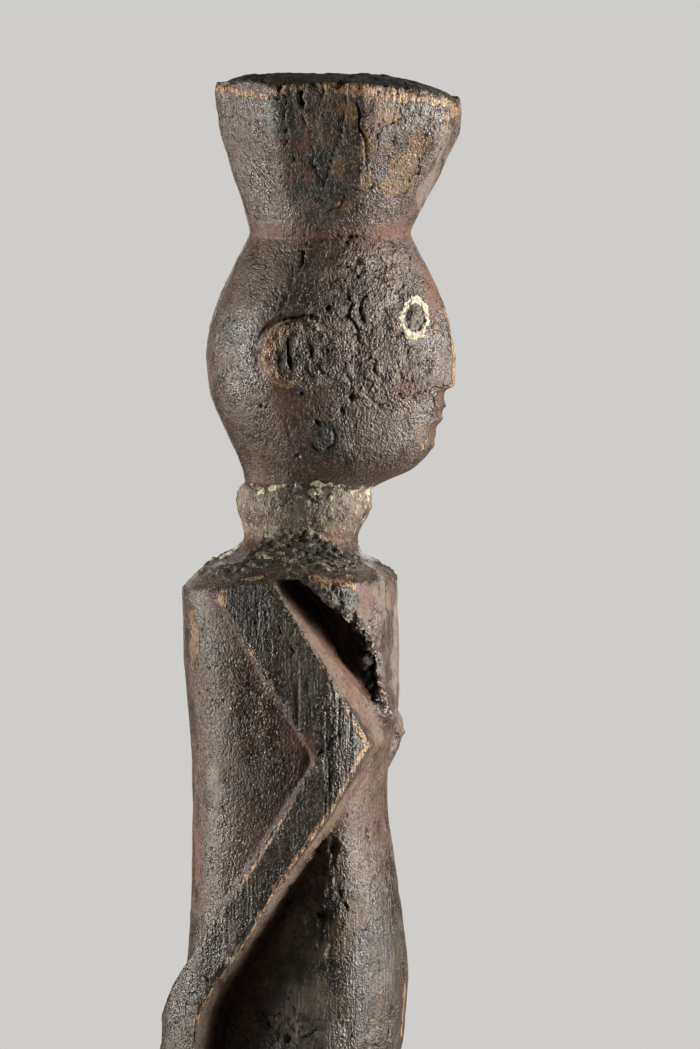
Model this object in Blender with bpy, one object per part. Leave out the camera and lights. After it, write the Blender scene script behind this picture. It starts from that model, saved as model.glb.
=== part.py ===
"""A standing figure and its low base, carved from one log of dark wood.

Metres, +Z up, facing -Y. The origin is the centre of the base's underside.
"""

import math

import bmesh
import bpy
from mathutils import Matrix, Vector

# Driving sizes, in metres
FIGURE_HEIGHT = 0.538  # from the top of the base to the crown of the headdress
BASE_HEIGHT = 0.022
BASE_WIDTH = 0.122
BASE_DEPTH = 0.118
BASE_EDGE_ROUND = 0.003
LEG_SPACING = 0.048  # from the middle of one leg to the middle of the other

# The figure is carved in parts of its own height. One part is a millimetre at 538 mm.
PART = FIGURE_HEIGHT / 538

# Sizes of the carving, in parts
ARM_FACE = 50.0  # from the middle of the body, where the arm's edges are measured
CROWN_TOP = 538.0
CROWN_MIDDLE = -19.0  # how far behind the figure's middle the crown's middle is
CROWN_HALF_DEPTH = 49.5
CROWN_HALF_WIDTH = 46.0
CROWN_SIDE_FALL = 5.0  # how much lower the crown's worn top is at its side rims
CROWN_BACK_FALL = 6.0
CROWN_FRONT_FALL = 15.0
HEADDRESS_FACETS = 8
HEADDRESS_FACETING = 0.75  # 0 leaves the headdress round, 1 makes its facets flat
EAR_HEIGHT = 27.0
EAR_LENGTH = 25.5
EAR_EDGE = 2.0  # the rounding of its rim
EAR_ROOT = 16.0  # how deep the ear runs into the head
EAR_FRONT_SQUARENESS = 3.6  # 2 would be round
EAR_PLACE = (-8.0, 426.7)  # (distance behind the middle, level)
EAR_REACH = 41.7  # how far the ear's face stands from the middle
EAR_TURN = 16.0  # degrees that the ear's face turns forward, so that its front edge fades
EYE_WIDTH = 9.0
EYE_HOLLOW = 1.2
EYE_PLACE = (-51.5, 440.3)
EYE_TURN = 52.0  # degrees that the eye looks forward of sideways
FINGER_GROOVE = 1.8
TOE_GROOVE = 2.0
TOE_GROOVES = [-7.2, -2.4, 2.4, 7.2]  # how far they are from the foot's middle
TOE_GROOVE_LINE = [(-28.0, 14.2), (-37.0, 11.3), (-42.6, 6.5), (-43.0, -3.0)]
CLEFT_WIDTH = 5.0
SEGMENTS = 30  # points around a ring of the body
HEADDRESS_SEGMENTS = 40
LEG_SEGMENTS = 16


class Row:
    """A ring of the body, in parts.

    It says how far the wood reaches to the front, the back and each side of the middle at a
    level. keel and flat shape its front and round its back: 2 is round, less is pointed and
    more is square. widest is how far behind the middle the ring is widest. strip is half the
    width of the flat strip down its front. ridge makes an edge where its back begins.
    """

    fields = "level front back side keel flat round widest strip ridge".split()

    def __init__(self, level, front, back, side, keel=2.0, flat=2.0, **others):
        self.level = level
        self.front = front
        self.back = back
        self.side = side
        self.keel = keel
        self.flat = flat
        self.round = others.get("round", max(keel, 2.0))
        self.widest = others.get("widest", (back - front) / 2)
        self.strip = others.get("strip", 0.0)
        self.ridge = others.get("ridge", 0.0)

    def values(self):
        return [getattr(self, name) for name in self.fields]

    @classmethod
    def of(cls, values):
        return cls(**dict(zip(cls.fields, values)))


def head_row(level, front, back, side, keel, flat, ridge_at):
    """A ring of the head, whose side is a plane that ends in an edge towards the back."""
    return Row(
        level, front, back, side, keel, flat, round=2.15, widest=ridge_at, strip=2.6, ridge=12.0
    )


HEADDRESS = [
    Row(468.0, 43.0, 13.0, 28.0),
    Row(474.0, 47.2, 16.8, 32.0),
    Row(491.5, 56.6, 22.0, 38.0),
    Row(514.0, 68.2, 29.4, 45.8),
]
HEADDRESS_RIM = Row(536.0, 70.4, 33.0, 48.2)
HEAD_TOP = [
    head_row(481.0, 41.0, 10.5, 22.0, 1.7, 2.0, -14.0),
    head_row(474.0, 47.0, 16.5, 29.0, 1.6, 1.9, -13.0),
    head_row(465.5, 51.6, 21.0, 34.0, 1.45, 1.8, -11.0),
    head_row(452.0, 58.6, 27.4, 39.0, 1.3, 1.75, -5.0),
    head_row(438.0, 63.6, 33.0, 41.5, 1.25, 1.75, 0.0),
    head_row(425.0, 65.8, 34.8, 42.0, 1.25, 1.75, 1.6),
]
HEAD_JAW = [
    head_row(425.0, 65.8, 34.8, 42.0, 1.25, 1.75, 1.6),
    head_row(410.0, 65.2, 32.9, 41.2, 1.3, 1.75, 0.0),
    head_row(398.0, 61.2, 28.2, 39.0, 1.4, 1.8, -4.0),
    head_row(388.0, 56.8, 23.4, 35.5, 1.5, 1.9, -9.0),
    head_row(380.0, 48.0, 20.0, 30.5, 1.7, 2.0, -11.0),
    head_row(374.0, 35.0, 19.0, 25.0, 1.9, 2.0, -8.0),
    head_row(368.0, 24.0, 14.0, 17.0, 2.0, 2.0, -4.0),
]
COLLAR = [
    Row(376.5, 22.0, 16.0, 19.0),
    Row(372.8, 29.8, 21.8, 25.6),
    Row(368.5, 31.8, 22.8, 27.3),
    Row(364.0, 31.8, 22.6, 27.2),
    Row(358.0, 28.6, 20.2, 24.6),
    Row(351.5, 25.2, 19.4, 22.5),
]
SHOULDER_SLOPE = [
    Row(351.5, 25.2, 19.4, 22.5),
    Row(346.5, 27.0, 25.4, 28.0, 2.2, 2.2),
    Row(340.5, 35.8, 36.4, 42.0, 2.6, 2.6),
    Row(336.0, 40.0, 42.4, 48.8, 2.9, 2.8),
    Row(331.0, 37.0, 39.0, 45.0, 2.9, 2.8),
]
# The chest and belly, between the arms
TRUNK = [
    Row(335.8, 39.9, 24.0, 48.7, 2.9, 2.8, widest=0.0),
    Row(304.0, 41.2, 18.0, 45.4, 3.0, 2.8, widest=-4.0),
    Row(282.0, 40.6, 8.0, 42.0, 2.8, 2.6, widest=-12.0),
    Row(260.0, 36.8, 2.0, 38.5, 2.5, 2.4, widest=-19.0),
    Row(240.0, 37.0, 0.0, 38.0, 2.3, 2.2, widest=-22.0),
    Row(222.0, 39.8, 4.0, 39.0, 2.2, 2.2, widest=-22.0),
    Row(190.0, 44.4, 20.0, 41.5, 2.2, 2.2, widest=-18.0),
    Row(176.0, 45.8, 27.0, 42.5, 2.2, 2.2, widest=-16.0),
    Row(160.0, 45.0, 34.0, 43.0, 2.2, 2.2, widest=-13.0),
    Row(147.0, 43.0, 37.0, 43.5, 2.2, 2.2, widest=-10.0),
    Row(132.0, 37.0, 41.0, 43.5, 2.2, 2.3, widest=-5.0),
    Row(119.0, 30.0, 42.0, 41.0, 2.2, 2.4, widest=0.0),
    Row(110.0, 21.0, 33.0, 33.0, 2.2, 2.4, widest=2.0),
]
# The back of the body, behind the arms
BACK = [
    Row(335.8, 39.9, 42.3, 48.7, 2.9, 2.8),
    Row(304.0, 41.0, 41.8, 48.0, 3.0, 2.8),
    Row(280.0, 40.0, 39.4, 48.0, 2.9, 2.8),
    Row(256.0, 37.0, 37.8, 48.4, 2.9, 2.7),
    Row(222.0, 38.0, 38.4, 49.0, 2.9, 2.7),
    Row(190.0, 40.0, 40.0, 49.6, 2.8, 2.7),
    Row(160.0, 40.0, 44.0, 50.0, 2.7, 2.7),
    Row(136.0, 40.0, 45.0, 49.0, 2.6, 2.6),
    Row(117.0, 36.0, 41.0, 43.0, 2.5, 2.5),
]
# The rounded outside of the log, which the faces of both arms keep
ARM_SHELL = [
    Row(335.6, 44.0, 43.6, 49.4, 3.2, 3.0),
    Row(322.0, 44.0, 45.0, 51.0, 3.4, 3.2),
    Row(266.0, 46.0, 46.0, 53.2, 3.4, 3.2),
    Row(200.0, 48.0, 47.0, 54.0, 3.2, 3.0),
    Row(158.0, 48.0, 52.2, 54.4, 3.0, 2.8),
    Row(132.0, 46.0, 53.0, 53.0, 3.0, 2.8),
    Row(112.0, 42.0, 50.0, 46.0, 3.0, 2.8),
]
LEG = [
    Row(136.0, 18.0, 26.0, 15.0, 2.3, 2.3),
    Row(120.0, 28.0, 33.5, 19.6, 2.3, 2.3),
    Row(104.0, 35.0, 27.0, 20.2, 2.3, 2.3),
    Row(88.0, 37.5, 13.0, 18.6, 2.2, 2.2),
    Row(72.0, 33.5, 4.5, 16.8, 2.2, 2.2),
    Row(56.0, 24.0, 12.0, 16.0, 2.2, 2.2),
    Row(38.0, 14.5, 22.5, 16.2, 2.2, 2.2),
    Row(20.0, 9.0, 21.5, 14.0, 2.2, 2.2),
    Row(-4.0, 9.5, 21.0, 13.5, 2.2, 2.2),
]
FOOT = [
    Row(-4.0, 43.5, 25.0, 15.0, 2.8, 2.6),
    Row(6.5, 43.5, 25.0, 15.0, 2.8, 2.6),
    Row(11.5, 37.0, 24.0, 14.0, 2.6, 2.6),
    Row(18.0, 17.0, 21.0, 12.0, 2.4, 2.4),
]

# Places on the figure's side, as (distance behind the middle, level), in parts. The arm goes
# from the shoulder forward to the elbow, and back to the hand on the hip.
ARM_BACK_EDGE = [
    (32.0, 345.0),
    (-15.4, 270.5),
    (-17.0, 266.0),
    (-14.6, 261.0),
    (15.5, 214.0),
    (30.4, 191.0),
    (40.5, 177.0),
    (46.5, 164.0),
    (48.5, 150.0),
    (47.5, 130.0),
    (43.0, 120.0),
]
ARM_FRONT_EDGE = [
    (5.0, 345.0),
    (-36.6, 276.8),
    (-38.6, 272.0),
    (-35.0, 265.4),
    (-4.9, 217.3),
    (9.4, 195.6),
    (22.1, 177.3),
    (28.2, 165.5),
    (30.2, 152.0),
    (30.0, 126.0),
    (34.0, 118.0),
]
# How near the middle of the body the arm's root lies, at its front and back edges
ARM_FRONT_ROOT = [10.0, 14.0, 16.0, 14.0, 12.0, 12.0, 12.0, 12.0, 13.0, 16.0, 20.0]
# How far the arm's front wall leans forward, for each length towards its root
ARM_FRONT_LEAN = [0.25, 0.11, 0.07, 0.11, 0.24, 0.25, 0.25, 0.25, 0.25, 0.25, 0.25]
ARM_BACK_ROOT = [10.0, 10.0, 10.0, 10.0, 10.0, 14.0, 26.0, 33.0, 35.0, 36.0, 36.0]
FINGERS = [  # the grooves between them
    [(34.2, 142.0), (33.8, 130.0), (36.0, 116.0)],
    [(38.6, 144.0), (38.0, 130.0), (38.6, 116.0)],
    [(43.0, 143.0), (42.2, 130.0), (41.2, 116.0)],
]
CHEST_HOLLOW = [
    (0.5, 337.4),
    (-46.0, 276.0),
    (-45.0, 286.0),
    (-38.5, 304.0),
    (-34.0, 314.0),
    (-24.5, 325.5),
    (-10.5, 337.4),
]
CHEST_HOLLOW_DEPTHS = [20.0, 22.0, 31.0, 25.0, 27.0, 31.0, 33.0]  # from the middle of the body
CLEFT = [(47.0, 168.0), (48.0, 150.0), (47.0, 132.0), (40.0, 112.0)]  # between the buttocks
# The carver's simple face: a keel of a nose cut off square, and two lips, seen from the side
FACE_CUT = [
    (-67.0, 413.5),
    (-60.0, 411.0),
    (-59.8, 407.5),
    (-61.8, 405.0),
    (-58.6, 402.6),
    (-60.8, 400.0),
    (-56.8, 396.5),
    (-56.6, 390.0),
]
FACE_CUT_CLEAR = 12.0  # how far the face's cutter stands out past the face

Z_UP = Vector((0.0, 0.0, 1.0))
FAR = 75.0  # past the outside of the body, for cutters


def cleaned(target):
    """Merges the points that Booleans leave almost on top of each other."""
    work = bmesh.new()
    work.from_mesh(target.data)
    bmesh.ops.remove_doubles(work, verts=work.verts, dist=0.00006)
    bmesh.ops.dissolve_degenerate(work, edges=work.edges, dist=0.00002)
    bmesh.ops.triangulate(work, faces=work.faces)
    work.to_mesh(target.data)
    work.free()
    return target


def clear_scene():
    for old in list(bpy.data.objects):
        bpy.data.objects.remove(old, do_unlink=True)


def height_of(level):
    """The height above the ground of a level on the figure."""
    return BASE_HEIGHT + level * PART


def place(x, y, level):
    return Vector((x * PART, y * PART, height_of(level)))


def mixed(first, second, third, fourth, share):
    """A smooth curve's value between the second and third of four values."""
    slope_in = (third - first) / 2
    slope_out = (fourth - second) / 2
    cube, square = share**3, share**2
    return (
        (2 * cube - 3 * square + 1) * second
        + (cube - 2 * square + share) * slope_in
        + (3 * square - 2 * cube) * third
        + (cube - square) * slope_out
    )


def smooth_rows(rows, between):
    """The rows with smooth ones worked out between them."""
    made = []
    last = len(rows) - 1
    for index in range(last):
        near = [rows[max(0, min(last, index + offset))].values() for offset in (-1, 0, 1, 2)]
        for step in range(between):
            share = step / between
            made.append(Row.of([mixed(*values, share) for values in zip(*near)]))
    made.append(rows[last])
    return made


def ring_place(row, angle):
    """A ring's (x, y) at an angle. It is -90 degrees at the front, and 0 at the side."""
    sine = math.sin(angle)
    if sine < 0:
        x = row.strip + (row.side - row.strip) * abs(math.cos(angle)) ** (2 / row.keel)
        y = row.widest - (row.front + row.widest) * abs(sine) ** (2 / row.flat)
        return x, y
    reach = row.back - row.widest + row.ridge
    start = math.asin(max(0.0, row.ridge / reach) ** (row.round / 2))
    turned = start + (math.pi / 2 - start) * angle / (math.pi / 2)
    wide = row.side / math.cos(start) ** (2 / row.round)
    x = wide * abs(math.cos(turned)) ** (2 / row.round)
    return x, row.widest - row.ridge + reach * math.sin(turned) ** (2 / row.round)


def ring(row, segments=SEGMENTS, middle_x=0.0, first=0.5):
    """The points of one ring, from the front round the figure's left to its back."""
    points = []
    for index in range(segments):
        angle = math.tau * (index + first) / segments - math.pi / 2
        right = angle > math.pi / 2
        x, y = ring_place(row, math.pi - angle if right else angle)
        points.append(place(middle_x - x if right else middle_x + x, y, row.level))
    return points


def faceted(points, facets, share):
    """A ring's points moved part of the way to a polygon, as an adze leaves a round."""
    middle = sum(points, Vector()) / len(points)
    sector = math.tau / facets
    made = []
    for index, point in enumerate(points):
        off = (math.tau * index / len(points) + sector / 2) % sector - sector / 2
        polygon = math.cos(sector / 2) / math.cos(off)
        made.append(middle + (point - middle) * (1 + share * (polygon - 1)))
    return made


def new_object(name, mesh_maker):
    """An object whose mesh the maker builds in a bmesh. Its faces are turned outwards."""
    mesh = bpy.data.meshes.new(name)
    work = bmesh.new()
    mesh_maker(work)
    bmesh.ops.triangulate(work, faces=work.faces)
    bmesh.ops.recalc_face_normals(work, faces=work.faces)
    work.to_mesh(mesh)
    work.free()
    made = bpy.data.objects.new(name, mesh)
    bpy.context.scene.collection.objects.link(made)
    return made


def loft(name, rings):
    """A closed solid through the rings."""

    def build(work):
        loops = [[work.verts.new(point) for point in points] for points in rings]
        count = len(loops[0])
        for lower, upper in zip(loops, loops[1:]):
            for index in range(count):
                after = (index + 1) % count
                work.faces.new((lower[index], lower[after], upper[after], upper[index]))
        work.faces.new(loops[0])
        work.faces.new(reversed(loops[-1]))

    return new_object(name, build)


def side_outline(outline, depths, side):
    """Places on the figure's side at those depths from the middle, as points."""
    return [place(side * depth, y, level) for (y, level), depth in zip(outline, depths)]


def combine(target, tool, operation):
    """Applies a Boolean of the tool to the target, and removes the tool."""
    boolean = target.modifiers.new(operation.lower(), "BOOLEAN")
    boolean.operation = operation
    boolean.object = tool
    graph = bpy.context.evaluated_depsgraph_get()
    result = bpy.data.meshes.new_from_object(target.evaluated_get(graph))
    target.modifiers.clear()
    target.data = result
    bpy.data.objects.remove(tool, do_unlink=True)
    return target


def crown_level(x, y):
    """The level of the headdress's worn top, in parts. It is a low dome, lower at the face."""
    along = (y - CROWN_MIDDLE) / CROWN_HALF_DEPTH
    across = x / CROWN_HALF_WIDTH
    if along > 0:
        fall = CROWN_BACK_FALL * along**6
    else:
        fall = CROWN_FRONT_FALL * (0.67 * abs(along) ** 2.2 + 0.33 * abs(along) ** 12)
    return CROWN_TOP - fall - CROWN_SIDE_FALL * across**2


def headdress():
    """The flaring headdress, hewn in facets, with a worn rim round its domed top."""

    def hewn(row):
        points = ring(row, HEADDRESS_SEGMENTS, first=0.0)
        share = min(1.0, max(0.0, (row.level - HEADDRESS[1].level) / 25))
        return faceted(points, HEADDRESS_FACETS, HEADDRESS_FACETING * share)

    rings = [hewn(row) for row in smooth_rows(HEADDRESS, 2)]
    wall, rim = rings[-1], hewn(HEADDRESS_RIM)
    middle = sum(rim, Vector()) / len(rim)
    for scale, drop in ((1.0, 2.6), (0.992, 0.9), (0.965, 0.0), (0.75, 0.0), (0.4, 0.0)):
        points = []
        for low, high in zip(wall, rim):
            top = crown_level(*(high.xy / PART)) - drop
            share = (top - HEADDRESS[-1].level) / (HEADDRESS_RIM.level - HEADDRESS[-1].level)
            spot = low.lerp(high, share if scale > 0.99 else 0.8)
            x, y = (middle.xy + (spot.xy - middle.xy) * scale) / PART
            points.append(place(x, y, crown_level(x, y) - drop if scale < 0.99 else top))
        rings.append(points)
    return loft("headdress", rings)


def ear(side):
    """A pad on the side of the head, round towards the back and square towards the face."""
    y, level = EAR_PLACE

    def build(work):
        bmesh.ops.create_cone(
            work,
            cap_ends=True,
            segments=24,
            radius1=1.0,
            radius2=1.0,
            depth=EAR_ROOT * PART,
        )
        for vertex in work.verts:
            towards_face = vertex.co.x * side < 0
            power = 2 / EAR_FRONT_SQUARENESS if towards_face else 1.0
            reach = abs(vertex.co.x) ** power * EAR_LENGTH / 2 * PART
            rise = abs(vertex.co.y) ** power * EAR_HEIGHT / 2 * PART
            vertex.co.x = math.copysign(reach, vertex.co.x)
            vertex.co.y = math.copysign(rise, vertex.co.y)
        rim = [edge for edge in work.edges if all(v.co.z > 0 for v in edge.verts)]
        bmesh.ops.bevel(
            work, geom=rim, offset=EAR_EDGE * PART, segments=3, affect="EDGES", profile=0.5
        )

    made = new_object("ear", build)
    outwards = Vector((side, 0, 0))
    outwards.rotate(Matrix.Rotation(-side * math.radians(EAR_TURN), 3, "Z"))
    along = Z_UP.cross(outwards)
    turn = Matrix((along, Z_UP, outwards)).transposed()
    middle = place(side * EAR_REACH, y, level) - outwards * EAR_ROOT / 2 * PART
    made.data.transform(Matrix.Translation(middle) @ turn.to_4x4())
    return made


def eye_hollow(side, surface):
    """A shallow round dish for the eye, cut where the head's side meets its keel."""
    y, level = EYE_PLACE
    angle = math.radians(EYE_TURN)
    outwards = Vector((side * math.cos(angle), -math.sin(angle), 0))
    middle = place(side * surface, y, level)
    radius = EYE_WIDTH / 2
    ball = (radius**2 + EYE_HOLLOW**2) / (2 * EYE_HOLLOW)

    def build(work):
        bmesh.ops.create_icosphere(work, subdivisions=3, radius=ball * PART)
        keep_depth = -ball * 0.55 * PART
        bmesh.ops.bisect_plane(
            work,
            geom=work.verts[:] + work.edges[:] + work.faces[:],
            plane_co=(0, 0, keep_depth),
            plane_no=(0, 0, 1),
            clear_outer=True,
        )
        rim = [edge for edge in work.edges if edge.is_boundary]
        bmesh.ops.contextual_create(work, geom=rim)

    made = new_object("eye_hollow", build)
    along = Z_UP.cross(outwards)
    turn = Matrix((along, Z_UP, outwards)).transposed()
    made.data.transform(
        Matrix.Translation(middle + outwards * (ball - EYE_HOLLOW) * PART) @ turn.to_4x4()
    )
    return made


def half_width_at(rows, level, y):
    """How far from the middle the surface of a set of rings is, at a level and a place."""
    ordered = sorted(rows, key=lambda row: row.level)
    upper = next((row for row in ordered if row.level >= level), ordered[-1])
    lower = next((row for row in reversed(ordered) if row.level <= level), ordered[0])
    share = (level - lower.level) / max(upper.level - lower.level, 1e-6)
    pairs = zip(lower.values(), upper.values())
    row = Row.of([low + share * (high - low) for low, high in pairs])
    if y < row.widest:
        along = (row.widest - y) / (row.front + row.widest)
        share = max(0.0, 1 - along**row.flat)
        return row.strip + (row.side - row.strip) * share ** (1 / row.keel)
    along = (y - row.widest) / (row.back - row.widest)
    return row.side * max(0.0, 1 - along**row.round) ** (1 / row.round)


def across_body(name, near, far):
    """A solid right across the body, between two lines on its side."""
    return loft(
        name,
        [
            [place(-FAR, *one), place(-FAR, *other), place(FAR, *other), place(FAR, *one)]
            for one, other in zip(near, far)
        ],
    )


def head():
    """The head with its cut face, eyes and ears."""
    rows = smooth_rows(HEAD_TOP, 2)[:-1] + smooth_rows(HEAD_JAW, 2)
    made = loft("head", [ring(row) for row in rows])
    clear = [(FACE_CUT[0][0] - FACE_CUT_CLEAR, level) for y, level in FACE_CUT]
    combine(made, across_body("face_cut", FACE_CUT, clear), "DIFFERENCE")
    surface = half_width_at(rows, EYE_PLACE[1], EYE_PLACE[0])
    for side in (-1, 1):
        combine(made, eye_hollow(side, surface), "DIFFERENCE")
        combine(made, ear(side), "UNION")
    return made


def groove(path, width, across, out):
    """A cutter for a groove of triangular section along a path of points."""
    size = width * PART
    rings = []
    for index, spot in enumerate(path):
        deep = 0.15 if index == 0 else 0.9
        rings.append(
            [
                spot + (out * 3 + across * 1.6) * size,
                spot + (out * 3 - across * 1.6) * size,
                spot - out * deep * size,
            ]
        )
    return loft("groove", rings)


def arm(side):
    """One arm: a band from the shoulder forward to the elbow and back to the hip."""
    stations = []
    for behind, before, near, far, lean in zip(
        ARM_BACK_EDGE, ARM_FRONT_EDGE, ARM_BACK_ROOT, ARM_FRONT_ROOT, ARM_FRONT_LEAN
    ):
        stations.append(
            [
                place(side * near, *behind),
                place(side * far, before[0] - lean * (ARM_FACE - far), before[1]),
                place(side * FAR, before[0] + lean * (FAR - ARM_FACE), before[1]),
                place(side * FAR, *behind),
            ]
        )
    made = loft("arm", stations)
    shell = loft("arm_shell", [ring(row) for row in smooth_rows(ARM_SHELL, 2)])
    combine(made, shell, "INTERSECT")
    for start, middle, end in FINGERS:
        path = [place(side * half_width_at(ARM_SHELL, spot[1], spot[0]), *spot)
                for spot in (start, middle, end)]
        out = Vector((side, 0, 0))
        combine(made, groove(path, FINGER_GROOVE, Vector((0, 1, 0)), out), "DIFFERENCE")
    return made


def chest_hollow(side):
    """A cutter for the sloping hollow in front of the upper arm."""
    inner = side_outline(CHEST_HOLLOW, CHEST_HOLLOW_DEPTHS, side)
    outer = side_outline(CHEST_HOLLOW, [FAR] * len(CHEST_HOLLOW), side)
    return loft("hollow", [inner, outer])


def back():
    """The back of the body, as far forward as the middle of both arms."""
    made = loft("back", [ring(row) for row in smooth_rows(BACK, 2)])
    edges = zip(ARM_BACK_EDGE, ARM_FRONT_EDGE)
    middle = [((a + c) / 2, (b + d) / 2) for (a, b), (c, d) in edges]
    behind = across_body("behind", middle, [(FAR, level) for y, level in middle])
    return combine(made, behind, "INTERSECT")


def body():
    """The collar, the shoulders and the trunk, hollowed in front of both arms."""
    rows = COLLAR[:-1] + SHOULDER_SLOPE
    made = loft("body", [ring(row) for row in rows])
    trunk = loft("trunk", [ring(row) for row in smooth_rows(TRUNK, 2)])
    combine(made, trunk, "UNION")
    for side in (-1, 1):
        combine(made, chest_hollow(side), "DIFFERENCE")
    for piece in (back(), arm(-1), arm(1)):
        combine(made, piece, "UNION")
    path = [place(0, y, level) for y, level in CLEFT]
    cleft = groove(path, CLEFT_WIDTH, Vector((1, 0, 0)), Vector((0, 1, 0)))
    return combine(made, cleft, "DIFFERENCE")


def leg(side):
    """One bent leg with its foot, sunk a little into the pelvis and the base."""
    middle = side * LEG_SPACING / 2 / PART
    made = loft("leg", [ring(row, LEG_SEGMENTS, middle, 0.0) for row in smooth_rows(LEG, 2)])
    foot = loft("foot", [ring(row, LEG_SEGMENTS, middle, 0.0) for row in smooth_rows(FOOT, 2)])
    combine(made, foot, "UNION")
    for x in TOE_GROOVES:
        path = [place(middle + x, y, level) for y, level in TOE_GROOVE_LINE]
        toe = groove(path, TOE_GROOVE, Vector((1, 0, 0)), Vector((0, -0.6, 0.8)))
        combine(made, toe, "DIFFERENCE")
    return made


def base():
    """The low round base that the figure stands on."""

    def build(work):
        bmesh.ops.create_cone(
            work, cap_ends=True, segments=40, radius1=0.5, radius2=0.5, depth=BASE_HEIGHT
        )
        size = Matrix.Diagonal((BASE_WIDTH, BASE_DEPTH, 1.0)).to_4x4()
        lift = Matrix.Translation((0, 0, BASE_HEIGHT / 2))
        bmesh.ops.transform(work, matrix=lift @ size, verts=work.verts)
        rims = [edge for edge in work.edges if abs(edge.verts[0].co.z - edge.verts[1].co.z) < 1e-6]
        bmesh.ops.bevel(
            work, geom=rims, offset=BASE_EDGE_ROUND, segments=2, affect="EDGES", profile=0.5
        )

    return new_object("base", build)


def dark_wood():
    """Old dark wood with a dull polish."""
    made = bpy.data.materials.new("dark_wood")
    made.use_nodes = True
    surface = made.node_tree.nodes["Principled BSDF"]
    surface.inputs["Base Color"].default_value = (0.085, 0.060, 0.047, 1.0)
    surface.inputs["Roughness"].default_value = 0.55
    surface.inputs["Metallic"].default_value = 0.0
    return made


def main():
    clear_scene()
    figure = body()
    for piece in (head(), headdress(), leg(-1), leg(1), base()):
        combine(figure, piece, "UNION")
    cleaned(figure)
    figure.name = "figure"
    figure.data.name = "figure"
    figure.data.materials.clear()
    figure.data.materials.append(dark_wood())
    figure.data.shade_smooth()
    figure.data.set_sharp_from_angle(angle=math.radians(32))


main()
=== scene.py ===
"""The finish of a standing figure carved from one log of dark wood, with its stage and lights.

The figure's own solid is copied, its surface is carved finer, and its wear, dirt and pigment are
kept on the surface as fields that the wood's material reads.
"""

import math

import bmesh
import bpy
import numpy as np
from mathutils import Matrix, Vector
from mathutils.bvhtree import BVHTree


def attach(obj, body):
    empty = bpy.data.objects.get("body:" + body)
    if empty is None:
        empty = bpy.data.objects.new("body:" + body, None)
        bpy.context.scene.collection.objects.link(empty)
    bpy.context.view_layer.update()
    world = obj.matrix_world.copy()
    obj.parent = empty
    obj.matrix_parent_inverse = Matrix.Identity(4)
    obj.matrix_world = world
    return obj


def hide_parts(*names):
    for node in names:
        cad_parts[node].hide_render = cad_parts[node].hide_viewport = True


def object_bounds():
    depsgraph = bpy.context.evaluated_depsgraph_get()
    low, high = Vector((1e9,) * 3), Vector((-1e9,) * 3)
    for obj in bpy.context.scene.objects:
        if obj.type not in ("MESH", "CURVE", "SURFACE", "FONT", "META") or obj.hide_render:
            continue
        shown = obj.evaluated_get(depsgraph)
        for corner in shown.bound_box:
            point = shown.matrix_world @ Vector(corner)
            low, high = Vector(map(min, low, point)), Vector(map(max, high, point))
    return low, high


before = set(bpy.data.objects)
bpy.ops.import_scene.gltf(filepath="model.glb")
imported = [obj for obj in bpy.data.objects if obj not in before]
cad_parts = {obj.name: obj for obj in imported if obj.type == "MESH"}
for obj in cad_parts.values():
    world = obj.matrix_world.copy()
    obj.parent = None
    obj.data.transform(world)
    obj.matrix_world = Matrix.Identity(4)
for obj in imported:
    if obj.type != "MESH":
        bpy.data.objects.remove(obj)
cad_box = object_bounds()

# The camera of the photograph. It looks at a point on the figure from its right side, a little
# from the front, and the photograph's height spans FRAME_HEIGHT there. Metres and degrees.
PHOTO_WIDTH, PHOTO_HEIGHT = 700, 1049
CAMERA_AZIMUTH = -80.0
CAMERA_ELEVATION = 2.3
CAMERA_DISTANCE = 2.8
CAMERA_AIM = Vector((0.0040, -0.0225, 0.3794))
FRAME_HEIGHT = 0.4196
SENSOR_HEIGHT = 24.0

BACKDROP_COLOUR = (0.62, 0.61, 0.595)
BACKDROP_FILL = 0.035  # how strongly the backdrop lights the figure
FLOOR_LIT = 0.18  # how far from the figure the floor is as lit, and where it is plain like the backdrop
FLOOR_PLAIN = 0.75
FLOOR_RADIUS = 40.0

# A soft box is its bearing from the camera in degrees, positive to the photograph's left, its
# distance and height in metres, its width and height in metres, and its power in watts
SOFT_BOXES = {
    "left_soft_box": (85.0, 1.2, 0.40, 0.4, 1.1, 32.0),
    "right_soft_box": (-85.0, 1.2, 0.40, 0.5, 1.1, 45.0),
    "right_front_box": (-66.0, 1.5, 0.35, 0.4, 0.9, 5.0),
    "far_fill": (180.0, 1.8, 0.7, 1.0, 1.0, 10.0),
}
SOFT_BOX_COLOUR = (1.0, 0.97, 0.93)
SOFT_BOX_AIM = Vector((0.0, 0.0, 0.38))

# The carving is worked in millimetres
MM = 0.001
VOXEL = 0.85
MOST_TRIANGLES = 198000
INSET = 0.02  # how far the carved surface stays inside the solid's own box
UNDERSIDE = 0.6  # what is lower than this stays flat
LINE_BAND = 1.8  # how far from a crack its distance is kept on the surface
CRACK_LIP = 0.22  # a share of the crack's depth
CRACK_LIP_WIDTH = 4.5
SCOOP_SIZE = 21.0  # the adze's scoops
SCOOP_DEPTH = 0.55
EDGE_CHIP_DEPTH = 0.7
RIM_CHIP_DEPTH = 1.3
CROWN_LUMP_HEIGHT = 0.7
CROWN_CHOP_DEPTH = 0.5
ARM_STEP_RISE = 0.3
ARM_STEP_DEPTH = 0.5
GRAIN_DEPTH = 0.26
DRYING_CHECK_DEPTH = 0.9
PIGMENT_THICKNESS = 0.35
SCABS = ((9.0, 65, 0.23, 0.08), (4.2, 67, 0.15, 0.12))  # their size, seed, step and cover
EDGE_START = 0.34  # how sharp an edge is where wear starts on it, and where it is worn through
EDGE_FULL = 1.0
SHOULDER_WEAR = 3.2  # how much lower the shoulders are worn towards the back
HEADDRESS_FACETS = 8
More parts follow.
